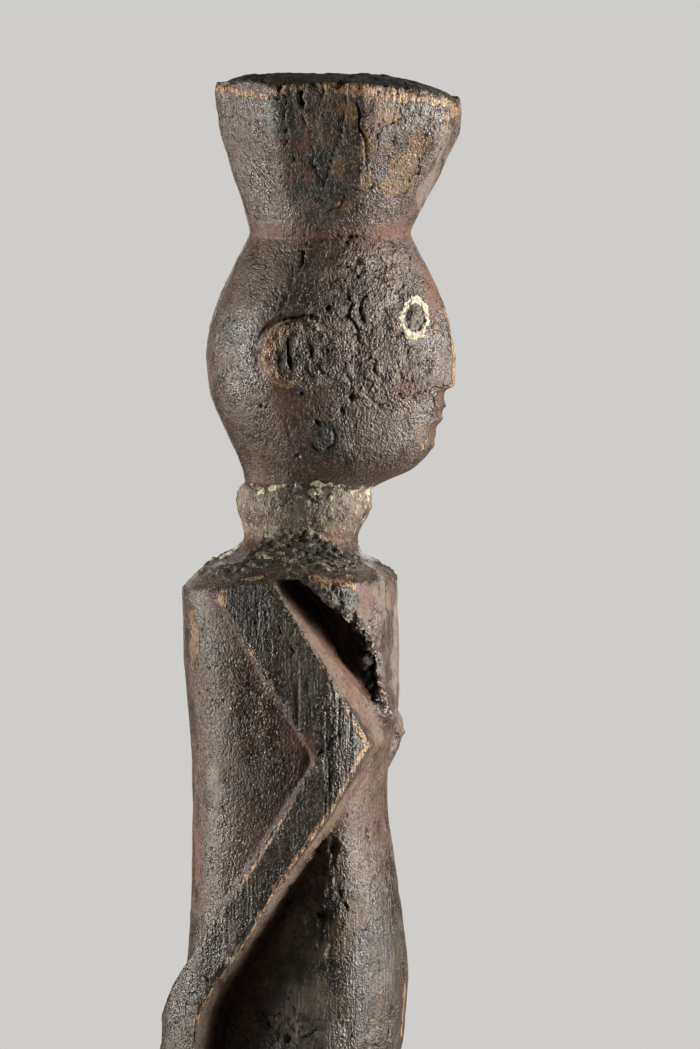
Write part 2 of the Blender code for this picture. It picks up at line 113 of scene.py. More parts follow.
HEADDRESS_MIDDLE = -18.0  # along Y
FACET_DEPTH = 0.38  # 0 for a round headdress, 1 for flat facets with full corners

# Stretches of the figure by height: where one starts, is whole, wanes and ends
LEGS = (24.0, 34.0, 150.0, 175.0)
BELLY = (120.0, 150.0, 225.0, 262.0)
SHOULDER_CORNER = (344.0, 356.0, 357.0, 366.0)
SHOULDER_SLOPE = (356.0, 359.0, 370.0, 378.0)
COLLAR = (372.0, 380.0, 393.0, 398.0)
COLLAR_LOWER_HALF = (374.0, 379.0, 386.0, 391.0)
COLLAR_LIP = (389.0, 392.5, 395.0, 398.5)
HEAD_SIDES = (400.0, 440.0, 470.0, 492.0)

# Marks on the wood, by their places in the photograph's 700 by 1049 frame
UPPER_ARM_BACK = [(223, 606), (247, 645), (270, 683), (290, 720), (303, 742)]
# A crack is its width and its depth in millimetres, and its route
CRACKS = [
    # On the head
    (1.2, 1.5, (308, 240), (303, 252), (304, 258), (302, 267)),
    (1.1, 1.2, (295, 263), (293, 269), (292, 275)),
    (0.5, 0.7, (302, 267), (292, 277), (288, 291), (284, 304), (281, 315), (277, 324)),
    (0.4, 0.5, (264, 382), (274, 395), (281, 414), (288, 432), (295, 448), (298, 458)),
    (0.5, 0.4, (253, 304), (251, 313), (248, 313)),
    (0.8, 1.3, (346, 292), (352, 303), (347, 313), (352, 323), (358, 329), (367, 331)),
    (0.9, 1.4, (367, 292), (361, 303), (361, 315), (366, 325)),
    (0.6, 1.0, (358, 330), (359, 340), (364, 346)),
    (0.8, 0.8, (430, 388), (443, 387), (453, 384)),
    (0.5, 0.9, (398, 397), (411, 395), (430, 391)),
    (0.5, 0.7, (404, 418), (413, 427)),
    (0.5, 0.9, (364, 275), (383, 280), (392, 291)),
    (0.5, 0.6, (229, 322), (224, 336), (229, 341), (234, 345)),
    (0.4, 0.5, (222, 369), (223, 380), (226, 385)),
    (0.5, 1.1, (367, 356), (376, 362), (374, 372), (384, 381)),
    (0.5, 0.9, (331, 262), (341, 268), (352, 266)),
    (0.5, 0.9, (369, 396), (376, 404), (389, 405)),
    (0.9, 0.9, (311, 440), (314, 447), (320, 451), (327, 450), (334, 445), (336, 437), (332, 430),
     (325, 427)),
    (1.6, 1.0, (316, 421), (319, 426)),
    (0.4, 0.6, (405, 279), (399, 290), (402, 298)),
    (0.5, 0.8, (391, 330), (398, 336), (396, 345)),
    (0.5, 1.0, (345, 372), (352, 382), (350, 392)),
    # On the ear
    (0.8, 1.0, (260, 342), (259, 350), (260, 360)),
    (0.6, 0.7, (264, 341), (263, 349)),
    (1.4, 1.6, (288, 340), (289, 351), (289, 361), (292, 369)),
    (1.1, 1.2, (310, 345), (312, 356)),
    (0.7, 0.9, (312, 356), (318, 366), (322, 375)),
    (1.3, 1.0, (279, 323), (290, 318), (309, 316), (320, 316)),
    (0.7, 0.8, (279, 356), (280, 363)),
    # On the headdress
    (0.7, 1.0, (284, 92), (286, 107), (285, 125), (288, 138), (286, 146), (293, 153), (295, 166)),
    (1.9, 1.6, (302, 86), (302, 98), (303, 108)),
    (0.5, 0.7, (303, 108), (305, 118), (306, 128)),
    (0.8, 0.8, (323, 83), (324, 92), (324, 100)),
    (1.0, 1.1, (280, 84), (279, 99)),
    (0.6, 0.6, (356, 120), (364, 117), (369, 111)),
    (0.5, 0.6, (402, 114), (397, 122), (383, 126), (378, 134), (379, 142), (375, 150)),
    (0.6, 0.8, (313, 180), (315, 190), (322, 201), (326, 211), (339, 209), (343, 201), (345, 188)),
    (0.6, 0.9, (371, 168), (371, 184), (368, 192)),
    (0.6, 0.9, (418, 165), (418, 174), (408, 176), (410, 184), (406, 192), (401, 202)),
    (1.2, 0.9, (443, 156), (441, 166)),
    (0.4, 0.5, (303, 170), (305, 184), (309, 199), (315, 211)),
    (0.4, 0.5, (289, 184), (292, 194), (299, 201)),
    (0.5, 0.6, (300, 158), (310, 162), (318, 172)),
    # On the body
    (0.9, 1.0, (281, 625), (282, 636), (281, 640)),
    (0.7, 1.0, (291, 643), (293, 660)),
    (0.9, 1.2, (341, 733), (330, 742), (324, 750), (313, 758)),
    (0.7, 1.0, (370, 822), (367, 833), (370, 843)),
    (1.2, 1.4, (336, 886), (340, 898), (348, 908)),
    (0.8, 1.2, (397, 1005), (390, 1013), (390, 1028), (386, 1044)),
    (0.6, 0.8, (174, 1012), (187, 1031), (195, 1043)),
    (0.5, 0.5, (198, 975), (206, 977), (210, 984)),
    (0.5, 0.5, (183, 998), (188, 991), (196, 993), (197, 1003), (190, 1006), (183, 999)),
    (0.6, 0.8, (204, 792), (206, 803), (214, 808)),
    (0.7, 0.6, (386, 585), (388, 600)),
    (0.8, 0.9, (260, 1005), (264, 1018), (274, 1030)),
    (0.7, 0.9, (300, 1040), (318, 1030), (340, 1026)),
    (0.6, 0.7, (404, 925), (401, 934), (403, 941)),
    (0.9, 0.4, *UPPER_ARM_BACK),
    (0.4, 0.3, (268, 581), (284, 606), (300, 631)),
    (0.5, 0.5, (246, 578), (249, 590), (247, 602)),
    (0.7, 0.9, (281, 870), (290, 888), (287, 905)),
]
# A pit is its place, its width and height, and its depth
PITS = [
    (328, 308, 2.0, 2.6, 1.2), (326, 350, 1.4, 2.6, 0.9), (351, 397, 1.8, 2.6, 1.2),
    (342, 411, 1.3, 2.6, 0.9), (387, 415, 1.7, 1.6, 0.9), (429, 373, 1.6, 2.0, 1.0),
    (424, 368, 1.2, 1.6, 0.7), (261, 406, 1.5, 1.3, 0.8), (266, 407, 1.3, 1.3, 0.7),
    (302, 394, 1.6, 2.0, 1.0), (292, 394, 1.3, 1.3, 0.7), (357, 262, 1.6, 2.8, 0.9),
    (358, 277, 1.6, 1.8, 0.8), (350, 238, 2.4, 1.8, 1.3), (356, 236, 1.8, 1.6, 1.1),
    (363, 237, 2.0, 1.5, 1.1), (346, 242, 1.4, 1.6, 0.8), (338, 236, 1.6, 1.2, 0.8),
    (347, 317, 1.8, 1.6, 0.8), (400, 395, 2.6, 2.0, 1.3), (298, 456, 1.6, 2.4, 1.1),
    (317, 423, 2.2, 2.2, 1.3), (256, 622, 1.2, 1.6, 0.9), (321, 917, 4.6, 4.4, 2.2),
    (332, 848, 2.6, 4.0, 1.2), (392, 877, 1.6, 1.6, 0.9), (400, 906, 1.6, 1.8, 0.9),
    (330, 964, 1.6, 1.4, 0.8), (240, 718, 1.2, 1.2, 0.8),
]
# A patch is its place, and half its width and height in pixels of the photograph
OCHRE_PATCHES = [
    (351, 111, 10, 7), (387, 117, 10, 8), (370, 142, 6, 10), (336, 168, 7, 12), (363, 182, 9, 8),
    (397, 188, 14, 10), (406, 165, 13, 11), (418, 145, 17, 14), (338, 206, 13, 5), (313, 434, 4, 6),
    (284, 638, 5, 4), (297, 700, 10, 18), (194, 640, 5, 26), (334, 935, 16, 22), (350, 915, 18, 14),
    (333, 1011, 12, 9), (376, 1008, 8, 12), (318, 985, 10, 12), (290, 1025, 12, 10),
]
DARK_PATCHES = [
    (328, 193, 15, 16), (321, 160, 12, 14), (284, 112, 20, 22), (297, 186, 8, 12),
    (324, 438, 12, 12), (288, 490, 15, 9), (328, 485, 9, 6), (232, 333, 8, 12), (208, 799, 5, 8),
    (344, 606, 13, 10), (248, 598, 22, 18), (272, 1040, 14, 12),
]
PALE_PATCHES = [
    (316, 484, 11, 4), (352, 490, 15, 5), (331, 497, 5, 4), (282, 500, 5, 4), (246, 506, 6, 7),
    (227, 555, 15, 5), (236, 549, 8, 4), (268, 560, 9, 4), (310, 545, 8, 7), (305, 531, 8, 5),
]
# Pale dust; the last two patches, on the belly's left, are painted light lifting its shade
DUST_AND_LIGHT_PATCHES = [
    (382, 600, 12, 30), (398, 620, 10, 40), (400, 670, 9, 44), (440, 150, 14, 44),
    (425, 190, 12, 30), (360, 520, 14, 16), (205, 610, 8, 20), (215, 800, 8, 60), (232, 940, 8, 30),
    (302, 925, 30, 46), (306, 1000, 34, 44),
]
DIRT_HEAPS = [(296, 552, 44, 21), (330, 562, 34, 11), (262, 558, 22, 12), (300, 540, 22, 12)]
SCABBY_PATCHES = [
    (372, 300, 34, 62), (392, 370, 42, 40), (340, 345, 24, 40), (362, 255, 40, 22),
    (304, 358, 22, 28), (322, 865, 24, 34), (300, 915, 34, 40), (292, 1030, 60, 26),
    (330, 1045, 70, 16),
]
ERODED_PATCHES = [(322, 862, 15, 22), (308, 910, 24, 26), (280, 1032, 24, 16)]
ROUGH_PATCHES = [(370, 330, 70, 90), (330, 430, 60, 30), (300, 900, 40, 60), (340, 590, 24, 16)]
REDDISH_PATCHES = [
    (262, 232, 30, 12), (320, 234, 40, 9), (390, 232, 34, 10), (302, 144, 12, 12),
    (300, 173, 13, 10), (262, 525, 18, 14), (340, 536, 22, 12), (432, 290, 10, 34),
    (300, 752, 18, 30), (346, 668, 30, 46), (197, 860, 5, 46), (366, 600, 10, 30),
    (280, 400, 16, 26), (272, 325, 10, 14), (402, 385, 16, 10), (395, 480, 30, 10),
]
# Painted shade on the middle of the head and the belly's right, laid through the hollow field
PAINTED_SHADE_PATCHES = [
    (325, 290, 50, 34), (345, 362, 60, 46), (418, 372, 18, 36), (380, 930, 26, 70),
    (365, 1015, 40, 36),
]
# Glossy places, where pale painted highlight specks are also laid
GLOSS_AND_GLINT_PATCHES = [
    (438, 112, 26, 20), (436, 118, 14, 12), (425, 140, 20, 26), (268, 105, 22, 20),
    (262, 175, 12, 50), (290, 205, 12, 26), (380, 205, 20, 16), (242, 335, 14, 26),
    (240, 385, 14, 26), (432, 350, 12, 30), (424, 405, 16, 22), (402, 405, 12, 20),
    (308, 325, 16, 9), (318, 372, 9, 14), (266, 356, 8, 26), (356, 736, 12, 20), (336, 782, 14, 18),
    (216, 930, 20, 34), (178, 1000, 16, 40), (230, 850, 22, 60), (258, 700, 26, 60),
    (405, 980, 8, 40), (385, 860, 10, 60), (330, 700, 14, 20),
]
# The patches painted on the wood: their field, how strong it is and how far it spreads. Polish
#  also lays painted highlight specks, some chalk is painted light, and hollow is painted shade
PAINTED = [
    ("ochre", OCHRE_PATCHES, 1.3, 0.15),
    ("polish", GLOSS_AND_GLINT_PATCHES, 1.2, 0.1),
    ("chalk", DUST_AND_LIGHT_PATCHES, 0.9, 0.0),
    ("char", DARK_PATCHES, 1.5, 0.25),
    ("reddish", REDDISH_PATCHES, 1.0, 0.0),
    ("hollow", PAINTED_SHADE_PATCHES, 0.6, 0.0),
]
EYE = (414.3, 318)
EYE_RING_WIDE = 5.1  # from the ring's middle to the middle of its band, in millimetres
EYE_RING_TALL = 7.0
EAR_MIDDLE = (292, 353)
EAR_HALF_LENGTH = 12.6
EAR_HALF_HEIGHT = 13.2
RIDGE = [(302, 574), (318, 586), (337, 604), (350, 620), (359, 636), (368, 656), (374, 676),
         (380, 698), (386, 716)]
# A line of wear is half its width in millimetres, how far it is worn, and its route
WORN_LINES = [
    (1.7, 1.0, (216, 98), (221, 91), (230, 89), (241, 93), (258, 96)),
    (1.6, 0.9, (258, 96), (268, 95), (280, 89), (299, 88), (323, 88)),
    (2.3, 1.1, (323, 88), (345, 88), (366, 91), (380, 94), (402, 96)),
    (1.5, 0.95, (402, 96), (422, 99), (443, 103), (455, 110), (461, 118)),
    (1.0, 1.0, (446, 311), (450, 330), (453, 350), (454, 366)),
    (1.9, 1.0, (453, 350), (454, 366), (454, 383)),
    (2.3, 1.25, (283, 326), (273, 334), (267, 346), (266, 358), (269, 370), (277, 379), (286, 384)),
    (1.2, 0.6, (446, 443), (443, 448), (437, 455)),
    (1.0, 0.75, (210, 583), (228, 581), (263, 577)),
    (2.2, 0.75, (212, 587), (222, 594), (224, 602)),
    (2.2, 0.7, (316, 578), (336, 582), (354, 587)),
    (0.7, 0.6, (321, 666), (341, 701), (354, 723)),
    (0.6, 0.55, *UPPER_ARM_BACK),
    (1.1, 0.8, (358, 728), (364, 738), (369, 745)),
    (1.0, 0.85, (368, 748), (356, 764), (347, 782), (338, 798), (325, 818), (311, 839)),
    (0.9, 0.8, (311, 839), (297, 858), (275, 891), (258, 919), (246, 939)),
    (0.9, 0.75, (246, 939), (221, 978), (204, 1005), (193, 1031)),
    (0.8, 0.65, (293, 800), (275, 833), (252, 869), (236, 891)),
    (0.8, 0.65, (236, 891), (214, 918), (189, 951), (161, 1008), (156, 1046)),
    (1.0, 0.75, (409, 974), (410, 990), (408, 1010), (405, 1036)),
    (1.0, 0.6, (391, 672), (393, 690), (391, 706)),
]
ARM_BACK_STEPS = [
    UPPER_ARM_BACK + [(312, 758)],
    [(311, 759), (293, 800), (275, 833), (252, 869), (238, 889)],
]
ARM_WALLS = [
    ([(273, 578), (291, 608), (313, 642), (344, 688), (378, 736)], 9.0),
    ([(368, 770), (340, 808), (303, 864), (272, 905), (232, 972), (206, 1015), (202, 1045)], 9.0),
]
COLLAR_CRUST = [(256, 494), (268, 490), (276, 487), (290, 485), (305, 486), (318, 485), (328, 484),
                (336, 487), (349, 490), (360, 495), (368, 499)]
ELBOW = (352, 735)
UPPER_ARM = [(232, 585), (268, 640), (308, 700), (340, 752)]
FOREARM = [(340, 752), (310, 800), (262, 870), (214, 950), (180, 1010), (172, 1045)]


class Signal:
    """A node's output, so that sums on it read as Python."""

    def __init__(self, finish, socket):
        self.finish = finish
        self.socket = socket

    def __add__(self, other):
        return self.finish.math("ADD", self, other)

    def __sub__(self, other):
        return self.finish.math("SUBTRACT", self, other)

    def __rsub__(self, other):
        return self.finish.math("SUBTRACT", other, self)

    def __mul__(self, other):
        return self.finish.math("MULTIPLY", self, other)

    def __abs__(self):
        return self.finish.node("Math", {"operation": "ABSOLUTE"}, _0=self)

    __radd__ = __add__
    __rmul__ = __mul__


class Finish:
    """The nodes of a material or a backdrop."""

    def __init__(self, owner):
        owner.use_nodes = True
        self.tree = owner.node_tree
        self.tree.nodes.clear()

    def node(self, kind, settings=None, output=0, **sockets):
        """Adds a node of that type with its settings, then fills its sockets, and gives an output."""
        made = self.tree.nodes.new("ShaderNode" + kind)
        for name, value in (settings or {}).items():
            setattr(made, name, value)
        for name, value in sockets.items():
            place = int(name[1:]) if name[1:].isdigit() else name.replace("_", " ")
            self.fill(self.socket_of(made.inputs, place), value)
        return None if output is None else Signal(self, self.socket_of(made.outputs, output))

    @staticmethod
    def socket_of(sockets, place):
        if isinstance(place, int):
            return [socket for socket in sockets if socket.enabled][place]
        return sockets[place]

    def fill(self, socket, value):
        if isinstance(value, Signal):
            self.tree.links.new(value.socket, socket)
        elif isinstance(value, tuple) and len(value) == 3 and len(socket.default_value) == 4:
            socket.default_value = (*value, 1.0)
        else:
            socket.default_value = value

    def math(self, operation, first, second):
        return self.node("Math", {"operation": operation}, _0=first, _1=second)

    def larger(self, first, second):
        return self.math("MAXIMUM", first, second)

    def more(self, value, low, high, **ends):
        """0 where the value is under low, 1 over high, and smooth between them."""
        return self.node("MapRange", {"interpolation_type": "SMOOTHSTEP"},
                         Value=value, From_Min=low, From_Max=high, **ends)

    def less(self, value, low, high):
        """1 where the value is under low, and 0 over high."""
        return self.more(value, low, high, To_Min=1.0, To_Max=0.0)

    def mixed(self, share, first, second):
        """The first colour where share is 0 and the second where it is 1."""
        return self.node("Mix", {"data_type": "RGBA"}, _0=share, _1=first, _2=second)

    def layered(self, colour, *layers):
        """The colour with each layer's tone laid over it by the layer's share."""
        for share, tone in layers:
            colour = self.mixed(share, colour, tone)
        return colour

    def field(self, name):
        """A number kept on the surface."""
        return self.node("Attribute", {"attribute_name": name}, output="Fac")

    def noise(self, place, size, detail=2.0, roughness=0.5, distortion=0.0):
        """Noise in lumps of about that size in metres."""
        return self.node("TexNoise", Vector=place, Scale=1.0 / size, Detail=detail,
                         Roughness=roughness, Distortion=distortion)


def eased(values, low, high):
    """0 at low, 1 at high and smooth between them. low may be the larger."""
    share = np.clip((values - low) / (high - low), 0.0, 1.0)
    return share * share * (3.0 - 2.0 * share)


def span(values, start, whole, wane, end):
    """1 from whole to wane, 0 before start and after end, and smooth between them."""
    return eased(values, start, whole) * eased(values, end, wane)


def scrambled(places, seed):
    """A number from 0 to 255 for each whole-numbered place, the same on each run."""
    x, y, z = places.T
    mixed = x * 374761393 + y * 668265263 + z * 1442695041 + seed * 974711
    mixed = mixed & 0xFFFFFFFF
    mixed = ((mixed ^ (mixed >> 13)) * 1274126177) & 0xFFFFFFFF
    return (mixed ^ (mixed >> 16)) & 255


DIRECTIONS = np.random.RandomState(5).normal(size=(256, 3))
DIRECTIONS /= np.linalg.norm(DIRECTIONS, axis=1, keepdims=True)
SHADES = np.random.RandomState(6).permutation(256) / 255.0
CORNERS = [np.array(corner) for corner in np.ndindex(2, 2, 2)]
NEIGHBOURS = [np.array(offset) - 1 for offset in np.ndindex(3, 3, 3)]


def lump_layer(places, seed):
    """Smooth noise whose lumps are one unit wide."""
    base = np.floor(places).astype(np.int64)
    part = places - base
    ease = part**3 * (part * (part * 6.0 - 15.0) + 10.0)
    total = np.zeros(len(places))
    for corner in CORNERS:
        slope = DIRECTIONS[scrambled(base + corner, seed)]
        weight = np.prod(np.where(corner, ease, 1.0 - ease), axis=1)
        total += weight * np.sum(slope * (part - corner), axis=1)
    return total * 1.7


def lumps(places, size, seed, layers=1, stretch=1.0):
    """Smooth noise from about -1 to 1, in lumps of about that size, longer upwards by stretch."""
    scaled = places / (np.array([1.0, 1.0, stretch]) * size)
    total = np.zeros(len(places))
    for layer in range(layers):
        total += 0.5**layer * lump_layer(scaled * 2.0**layer + 17.3 * layer, seed + layer)
    return total


def wavered(places, amount, size, seed, layers=1):
    """The places, each moved by up to about that amount."""
    shifts = [lumps(places, size, seed + axis, layers) for axis in range(3)]
    return places + amount * np.stack(shifts, axis=1)


def both_sides(path):
    """A path on each side of the figure. The side is 1 where it was drawn."""
    for side in (1, -1):
        yield side, path * np.array([side, 1.0, 1.0])


def cells(places, size, seed, stretch=1.0):
    """The distance to the nearest of scattered seeds, the gap to the next one, and the cell's shade."""
    scaled = places / (np.array([1.0, 1.0, stretch]) * size)
    base = np.floor(scaled).astype(np.int64)
    first = np.full(len(places), 9.0)
    second = np.full(len(places), 9.0)
    shade = np.zeros(len(places))
    for offset in NEIGHBOURS:
        number = scrambled(base + offset, seed)
        away = np.linalg.norm(base + offset + 0.5 + 0.45 * DIRECTIONS[number] - scaled, axis=1)
        nearer = away < first
        second = np.where(nearer, first, np.minimum(second, away))
        shade = np.where(nearer, SHADES[number], shade)
        first = np.where(nearer, away, first)
    return first, second - first, shade


class Skin:
    """The figure's surface in numbers: its points in millimetres, what is carved and what is on it.

    The fields that the wood's material reads are line_aside and line_half for the nearest crack,
    pit for holes, worn for rubbed edges, grain for bare grooves, scabby for flaking skin, char and
    crust for black dirt, crumb for pale bits in it, kaolin for white pigment, chalk for dust and in
    places painted light, and ochre and reddish for the patina's colour. Polish is the gloss and
    where painted highlight specks are laid, hollow is painted shade, crust is also painted shade
    inside the chest's hollow, and cracks and holes are painted nearly black as painted shade.
    """

    def __init__(self, mesh):
        count = len(mesh.vertices)
        self.points = np.empty(count * 3)
        mesh.vertices.foreach_get("co", self.points)
        self.points = self.points.reshape(-1, 3) / MM
        ends = np.empty(len(mesh.edges) * 2, np.int32)
        mesh.edges.foreach_get("vertices", ends)
        self.ends = ends.reshape(-1, 2)
        self.degree = np.bincount(ends, minlength=count)
        self.points = self.blurred(self.points, 2)
        mesh.vertices.foreach_set("co", (self.points * MM).ravel())
        mesh.update()
        normals = np.empty(count * 3)
        mesh.vertices.foreach_get("normal", normals)
        self.normals = normals.reshape(-1, 3)
        self.relief = np.zeros(count)
        self.nearest_line = np.full(count, np.inf)
        self.fields = {"line_aside": np.full(count, LINE_BAND), "line_half": np.zeros(count)}

    def blurred(self, values, turns):
        """The values, each averaged with its neighbours' that many times."""
        columns = values.reshape(len(values), -1).T
        start, end = self.ends.T
        made = []
        for column in columns:
            for _ in range(turns):
                near = np.bincount(start, column[end], len(column))
                near += np.bincount(end, column[start], len(column))
                column = 0.5 * column + 0.5 * near / self.degree
            made.append(column)
        return np.array(made).T.reshape(values.shape)

    def bulge(self, turns):
        """How far each point stands out from the blurred surface, in millimetres."""
        return np.sum((self.points - self.blurred(self.points, turns)) * self.normals, axis=1)

    def carve(self, depth, index=slice(None)):
        """Sinks the surface by that depth in millimetres."""
        self.relief[index] -= depth

    def paint(self, name, amount, index=slice(None)):
        """Raises a field to the amount where it is less. A field is under 0 where it isn't painted."""
        field = self.fields.setdefault(name, np.full(len(self.points), -1.0))
        field[index] = np.maximum(field[index], np.clip(amount, -1.0, 1.0))

    def mark_line(self, index, away, aside, half):
        """Keeps the signed distance to the nearest crack and its half width there."""
        chosen = (away < self.nearest_line[index]) & (away < LINE_BAND)
        index = index[chosen]
        self.nearest_line[index] = away[chosen]
        self.fields["line_aside"][index] = aside[chosen]
        self.fields["line_half"][index] = half[chosen]

    def within(self, spot, reach):
        """The points in a box about a spot."""
        return np.flatnonzero(np.all(np.abs(self.points - spot) < reach, axis=1))

    def along(self, path, margin, waver=0.0):
        """The points near a path, and how far each is from it, to its left and along it."""
        low, high = path.min(axis=0) - margin, path.max(axis=0) + margin
        index = np.flatnonzero(np.all((self.points > low) & (self.points < high), axis=1))
        spots = self.points[index]
        if waver:
            spots = wavered(spots, waver, 3.4, 301, layers=2)
        normals = self.normals[index]
        nearest = np.full(len(index), np.inf)
        aside = np.zeros(len(index))
        place = np.zeros(len(index))
        for number, (start, end) in enumerate(zip(path, path[1:])):
            line = end - start
            share = np.clip((spots - start) @ line / (line @ line), 0.0, 1.0)
            off = spots - start - share[:, None] * line
            away = np.linalg.norm(off, axis=1)
            left = np.sum(off * np.cross(normals, line / np.linalg.norm(line)), axis=1)
            nearer = away < nearest
            place = np.where(nearer, (number + share) / (len(path) - 1), place)
            aside = np.where(nearer, left, aside)
            nearest = np.minimum(nearest, away)
        return index, nearest, aside, place


class View:
    """The photograph's camera, and the places on the figure that its pixels show."""

    def __init__(self, node):
        azimuth, elevation = math.radians(CAMERA_AZIMUTH), math.radians(CAMERA_ELEVATION)
        self.back = Vector((math.sin(azimuth) * math.cos(elevation),
                            -math.cos(azimuth) * math.cos(elevation), math.sin(elevation)))
        self.right = Vector((0.0, 0.0, 1.0)).cross(self.back).normalized()
        self.up = self.back.cross(self.right)
        self.eye = CAMERA_AIM + self.back * CAMERA_DISTANCE
        self.pixel = FRAME_HEIGHT / PHOTO_HEIGHT
        self.solid = BVHTree.FromPolygons(
            [vertex.co for vertex in node.data.vertices],
            [polygon.vertices for polygon in node.data.polygons],
        )

    def spot(self, pixel):
        """The place on the figure at a pixel of the photograph, in millimetres."""
        aside = (pixel[0] - PHOTO_WIDTH / 2) * self.pixel
        above = (PHOTO_HEIGHT / 2 - pixel[1]) * self.pixel
        through = CAMERA_AIM + self.right * aside + self.up * above
        found = self.solid.ray_cast(self.eye, through - self.eye)[0]
        if found is None:
            found = self.solid.find_nearest(through)[0]
        return np.array(found) / MM

    def path(self, pixels):
        return np.array([self.spot(pixel) for pixel in pixels])

    def about(self, skin, pixel, reach, side=-1):
        """The points about a pixel's spot, and how far each is aside, above and outwards from it.

        The seen side is -1, and side 1 is its mirror image.
        """
        mirror = np.array([-side, 1.0, 1.0])
        spot = self.spot(pixel) * mirror
        index = skin.within(spot, reach)
        away = (skin.points[index] - spot) * mirror
        return index, away @ np.array(self.right), away[:, 2], away @ np.array(self.back)

    def patch(self, skin, pixel_x, pixel_y, half_wide, half_tall):
        """The points about a patch, and a field that is 1 at its middle and 0 at its rim."""
        size = self.pixel / MM
        reach = 1.6 * max(half_wide, half_tall) * size
        index, aside, above, out = self.about(skin, (pixel_x, pixel_y), reach)
        off = (aside / (half_wide * size))**2 + (above / (half_tall * size))**2 + (out / reach)**2
        return index, 1.0 - np.sqrt(off)


def copied_solid(node):
    """A fine even mesh of the figure's solid."""
    work = bmesh.new()
    work.from_mesh(node.data)
    bmesh.ops.remove_doubles(work, verts=work.verts, dist=1e-6)
    mesh = bpy.data.meshes.new("carved_figure")
    work.to_mesh(mesh)
    work.free()
    return evened(mesh, "REMESH", mode="VOXEL", voxel_size=VOXEL * MM, use_smooth_shade=True)


def evened(mesh, kind, **settings):
    """The mesh after one modifier."""
    helper = bpy.data.objects.new("helper", mesh)
    bpy.context.scene.collection.objects.link(helper)
    modifier = helper.modifiers.new("change", kind)
    for name, value in settings.items():
        setattr(modifier, name, value)
    graph = bpy.context.evaluated_depsgraph_get()
    made = bpy.data.meshes.new_from_object(
        helper.evaluated_get(graph), preserve_all_data_layers=True, depsgraph=graph
    )
    bpy.data.objects.remove(helper)
    bpy.data.meshes.remove(mesh)
    return made


def patches(skin, view, marks):
    """A field that is 1 at the middle of each mark and under 0 outside them."""
    made = np.full(len(skin.points), -1.0)
    for mark in marks:
        index, field = view.patch(skin, *mark)
        made[index] = np.maximum(made[index], field)
    return made


def ragged_patches(skin, view, marks):
    """The same field with ragged rims."""
    made = patches(skin, view, marks)
    near = np.flatnonzero(made > -1.0)
    spots = skin.points[near]
    made[near] += 0.7 * lumps(spots, 6.5, 35, layers=3) + 0.5 * lumps(spots, 13.0, 37)
    return made


def soften(skin):
    """Rounds off the solid's facets, but not its edges, and the crease where belly meets thighs."""
    height = skin.points[:, 2]
    crisp = eased(np.abs(skin.bulge(10)), 0.10, 0.22)
    crisp = np.maximum(crisp, eased(skin.blurred(crisp, 2), 0.1, 0.5))
    soft = skin.blurred(skin.points, 14)
    skin.points += (1.0 - crisp)[:, None] * (soft - skin.points)
    share = span(height, *LEGS)
    soft = skin.blurred(skin.points, 24)
    skin.points += share[:, None] * (soft - skin.points)
    worn_corner = eased(skin.points[:, 1], 6.0, 30.0) * span(height, *SHOULDER_CORNER)
    skin.points[:, 2] -= SHOULDER_WEAR * worn_corner


def hewn(skin):
    """The shallow scoops that the adze left, and the log's own unevenness."""
    points = skin.points
    bent = points + 3.0 * lumps(points, 14.0, 3)[:, None]
    away, _, _ = cells(bent, SCOOP_SIZE, 11, stretch=2.1)
    skin.relief += SCOOP_DEPTH * (away**2 - 0.3)
    skin.relief += 0.30 * lumps(points, 17.0, 21, layers=2)
    skin.relief += 0.10 * lumps(points, 4.5, 23, layers=2)


def hew_headdress(skin):
    """The edges between the headdress's flat facets."""
    x, y, height = skin.points.T
    sector = math.tau / HEADDRESS_FACETS
    angle = np.arctan2(x, HEADDRESS_MIDDLE - y)
    off = (angle + sector / 2) % sector - sector / 2
    reach = np.hypot(x, y - HEADDRESS_MIDDLE)
    side = eased(np.abs(skin.normals[:, 2]), 0.85, 0.5)
    skin.relief += FACET_DEPTH * reach * (1 / np.cos(off) - 1) * eased(height, 498.0, 522.0) * side


def crack(skin, view, pixels, width, depth):
    """A crack that wanders along its route and closes at its ends, with its left lip raised."""
    path = view.path(pixels)
    index, away, aside, place = skin.along(path, 6.0, waver=0.9)
    half = 0.38 * width * eased(np.minimum(place, 1 - place), -0.12, 0.22)
    half = half * (1.0 + 0.45 * lumps(skin.points[index], 3.0, 33))
    past = np.sqrt(np.maximum(away**2 - aside**2, 0.0))
    half = np.where(past > 0.5, 0.0, half)
    skin.carve(depth * eased(away, half * 1.3 + 0.25, half * 0.2), index)
    lip = eased(aside, -0.2, 0.5) * eased(away, CRACK_LIP_WIDTH, 0.4) * eased(past, 1.5, 0.0)
    skin.relief[index] += CRACK_LIP * depth * lip
    skin.mark_line(index, away, aside, half)


def pit(skin, view, pixel_x, pixel_y, wide, tall, depth):
    """A small hole with a ragged rim."""
    reach = 3.0 * max(wide, tall)
    index, aside, above, out = view.about(skin, (pixel_x, pixel_y), reach)
    far = np.hypot(np.hypot(aside, out) / (wide / 2), above / (tall / 2))
    far = far + 0.7 * lumps(skin.points[index], 1.8, 41, layers=2)
    skin.carve(0.85 * depth * eased(far, 1.5, 0.3), index)
    skin.paint("pit", 0.9 - far / 1.5, index)


def scabs(skin, weight):
    """Flaking skin: raised islands with steep ragged edges, thickest where the weight is high."""
    points = skin.points
    bent = wavered(points, 1.6, 3.0, 61)
    for size, seed, step, cover in SCABS:
        level = lumps(bent, size, seed, layers=3) + 0.55 * (weight - 0.6)
        skin.relief += step * eased(level, cover, cover + 0.11) * eased(weight, 0.05, 0.5)
    skin.relief += 0.15 * eased(weight, 0.0, 0.6) * lumps(points, 1.9, 69, layers=2)
    skin.paint("scabby", weight * 2.0 - 1.0)


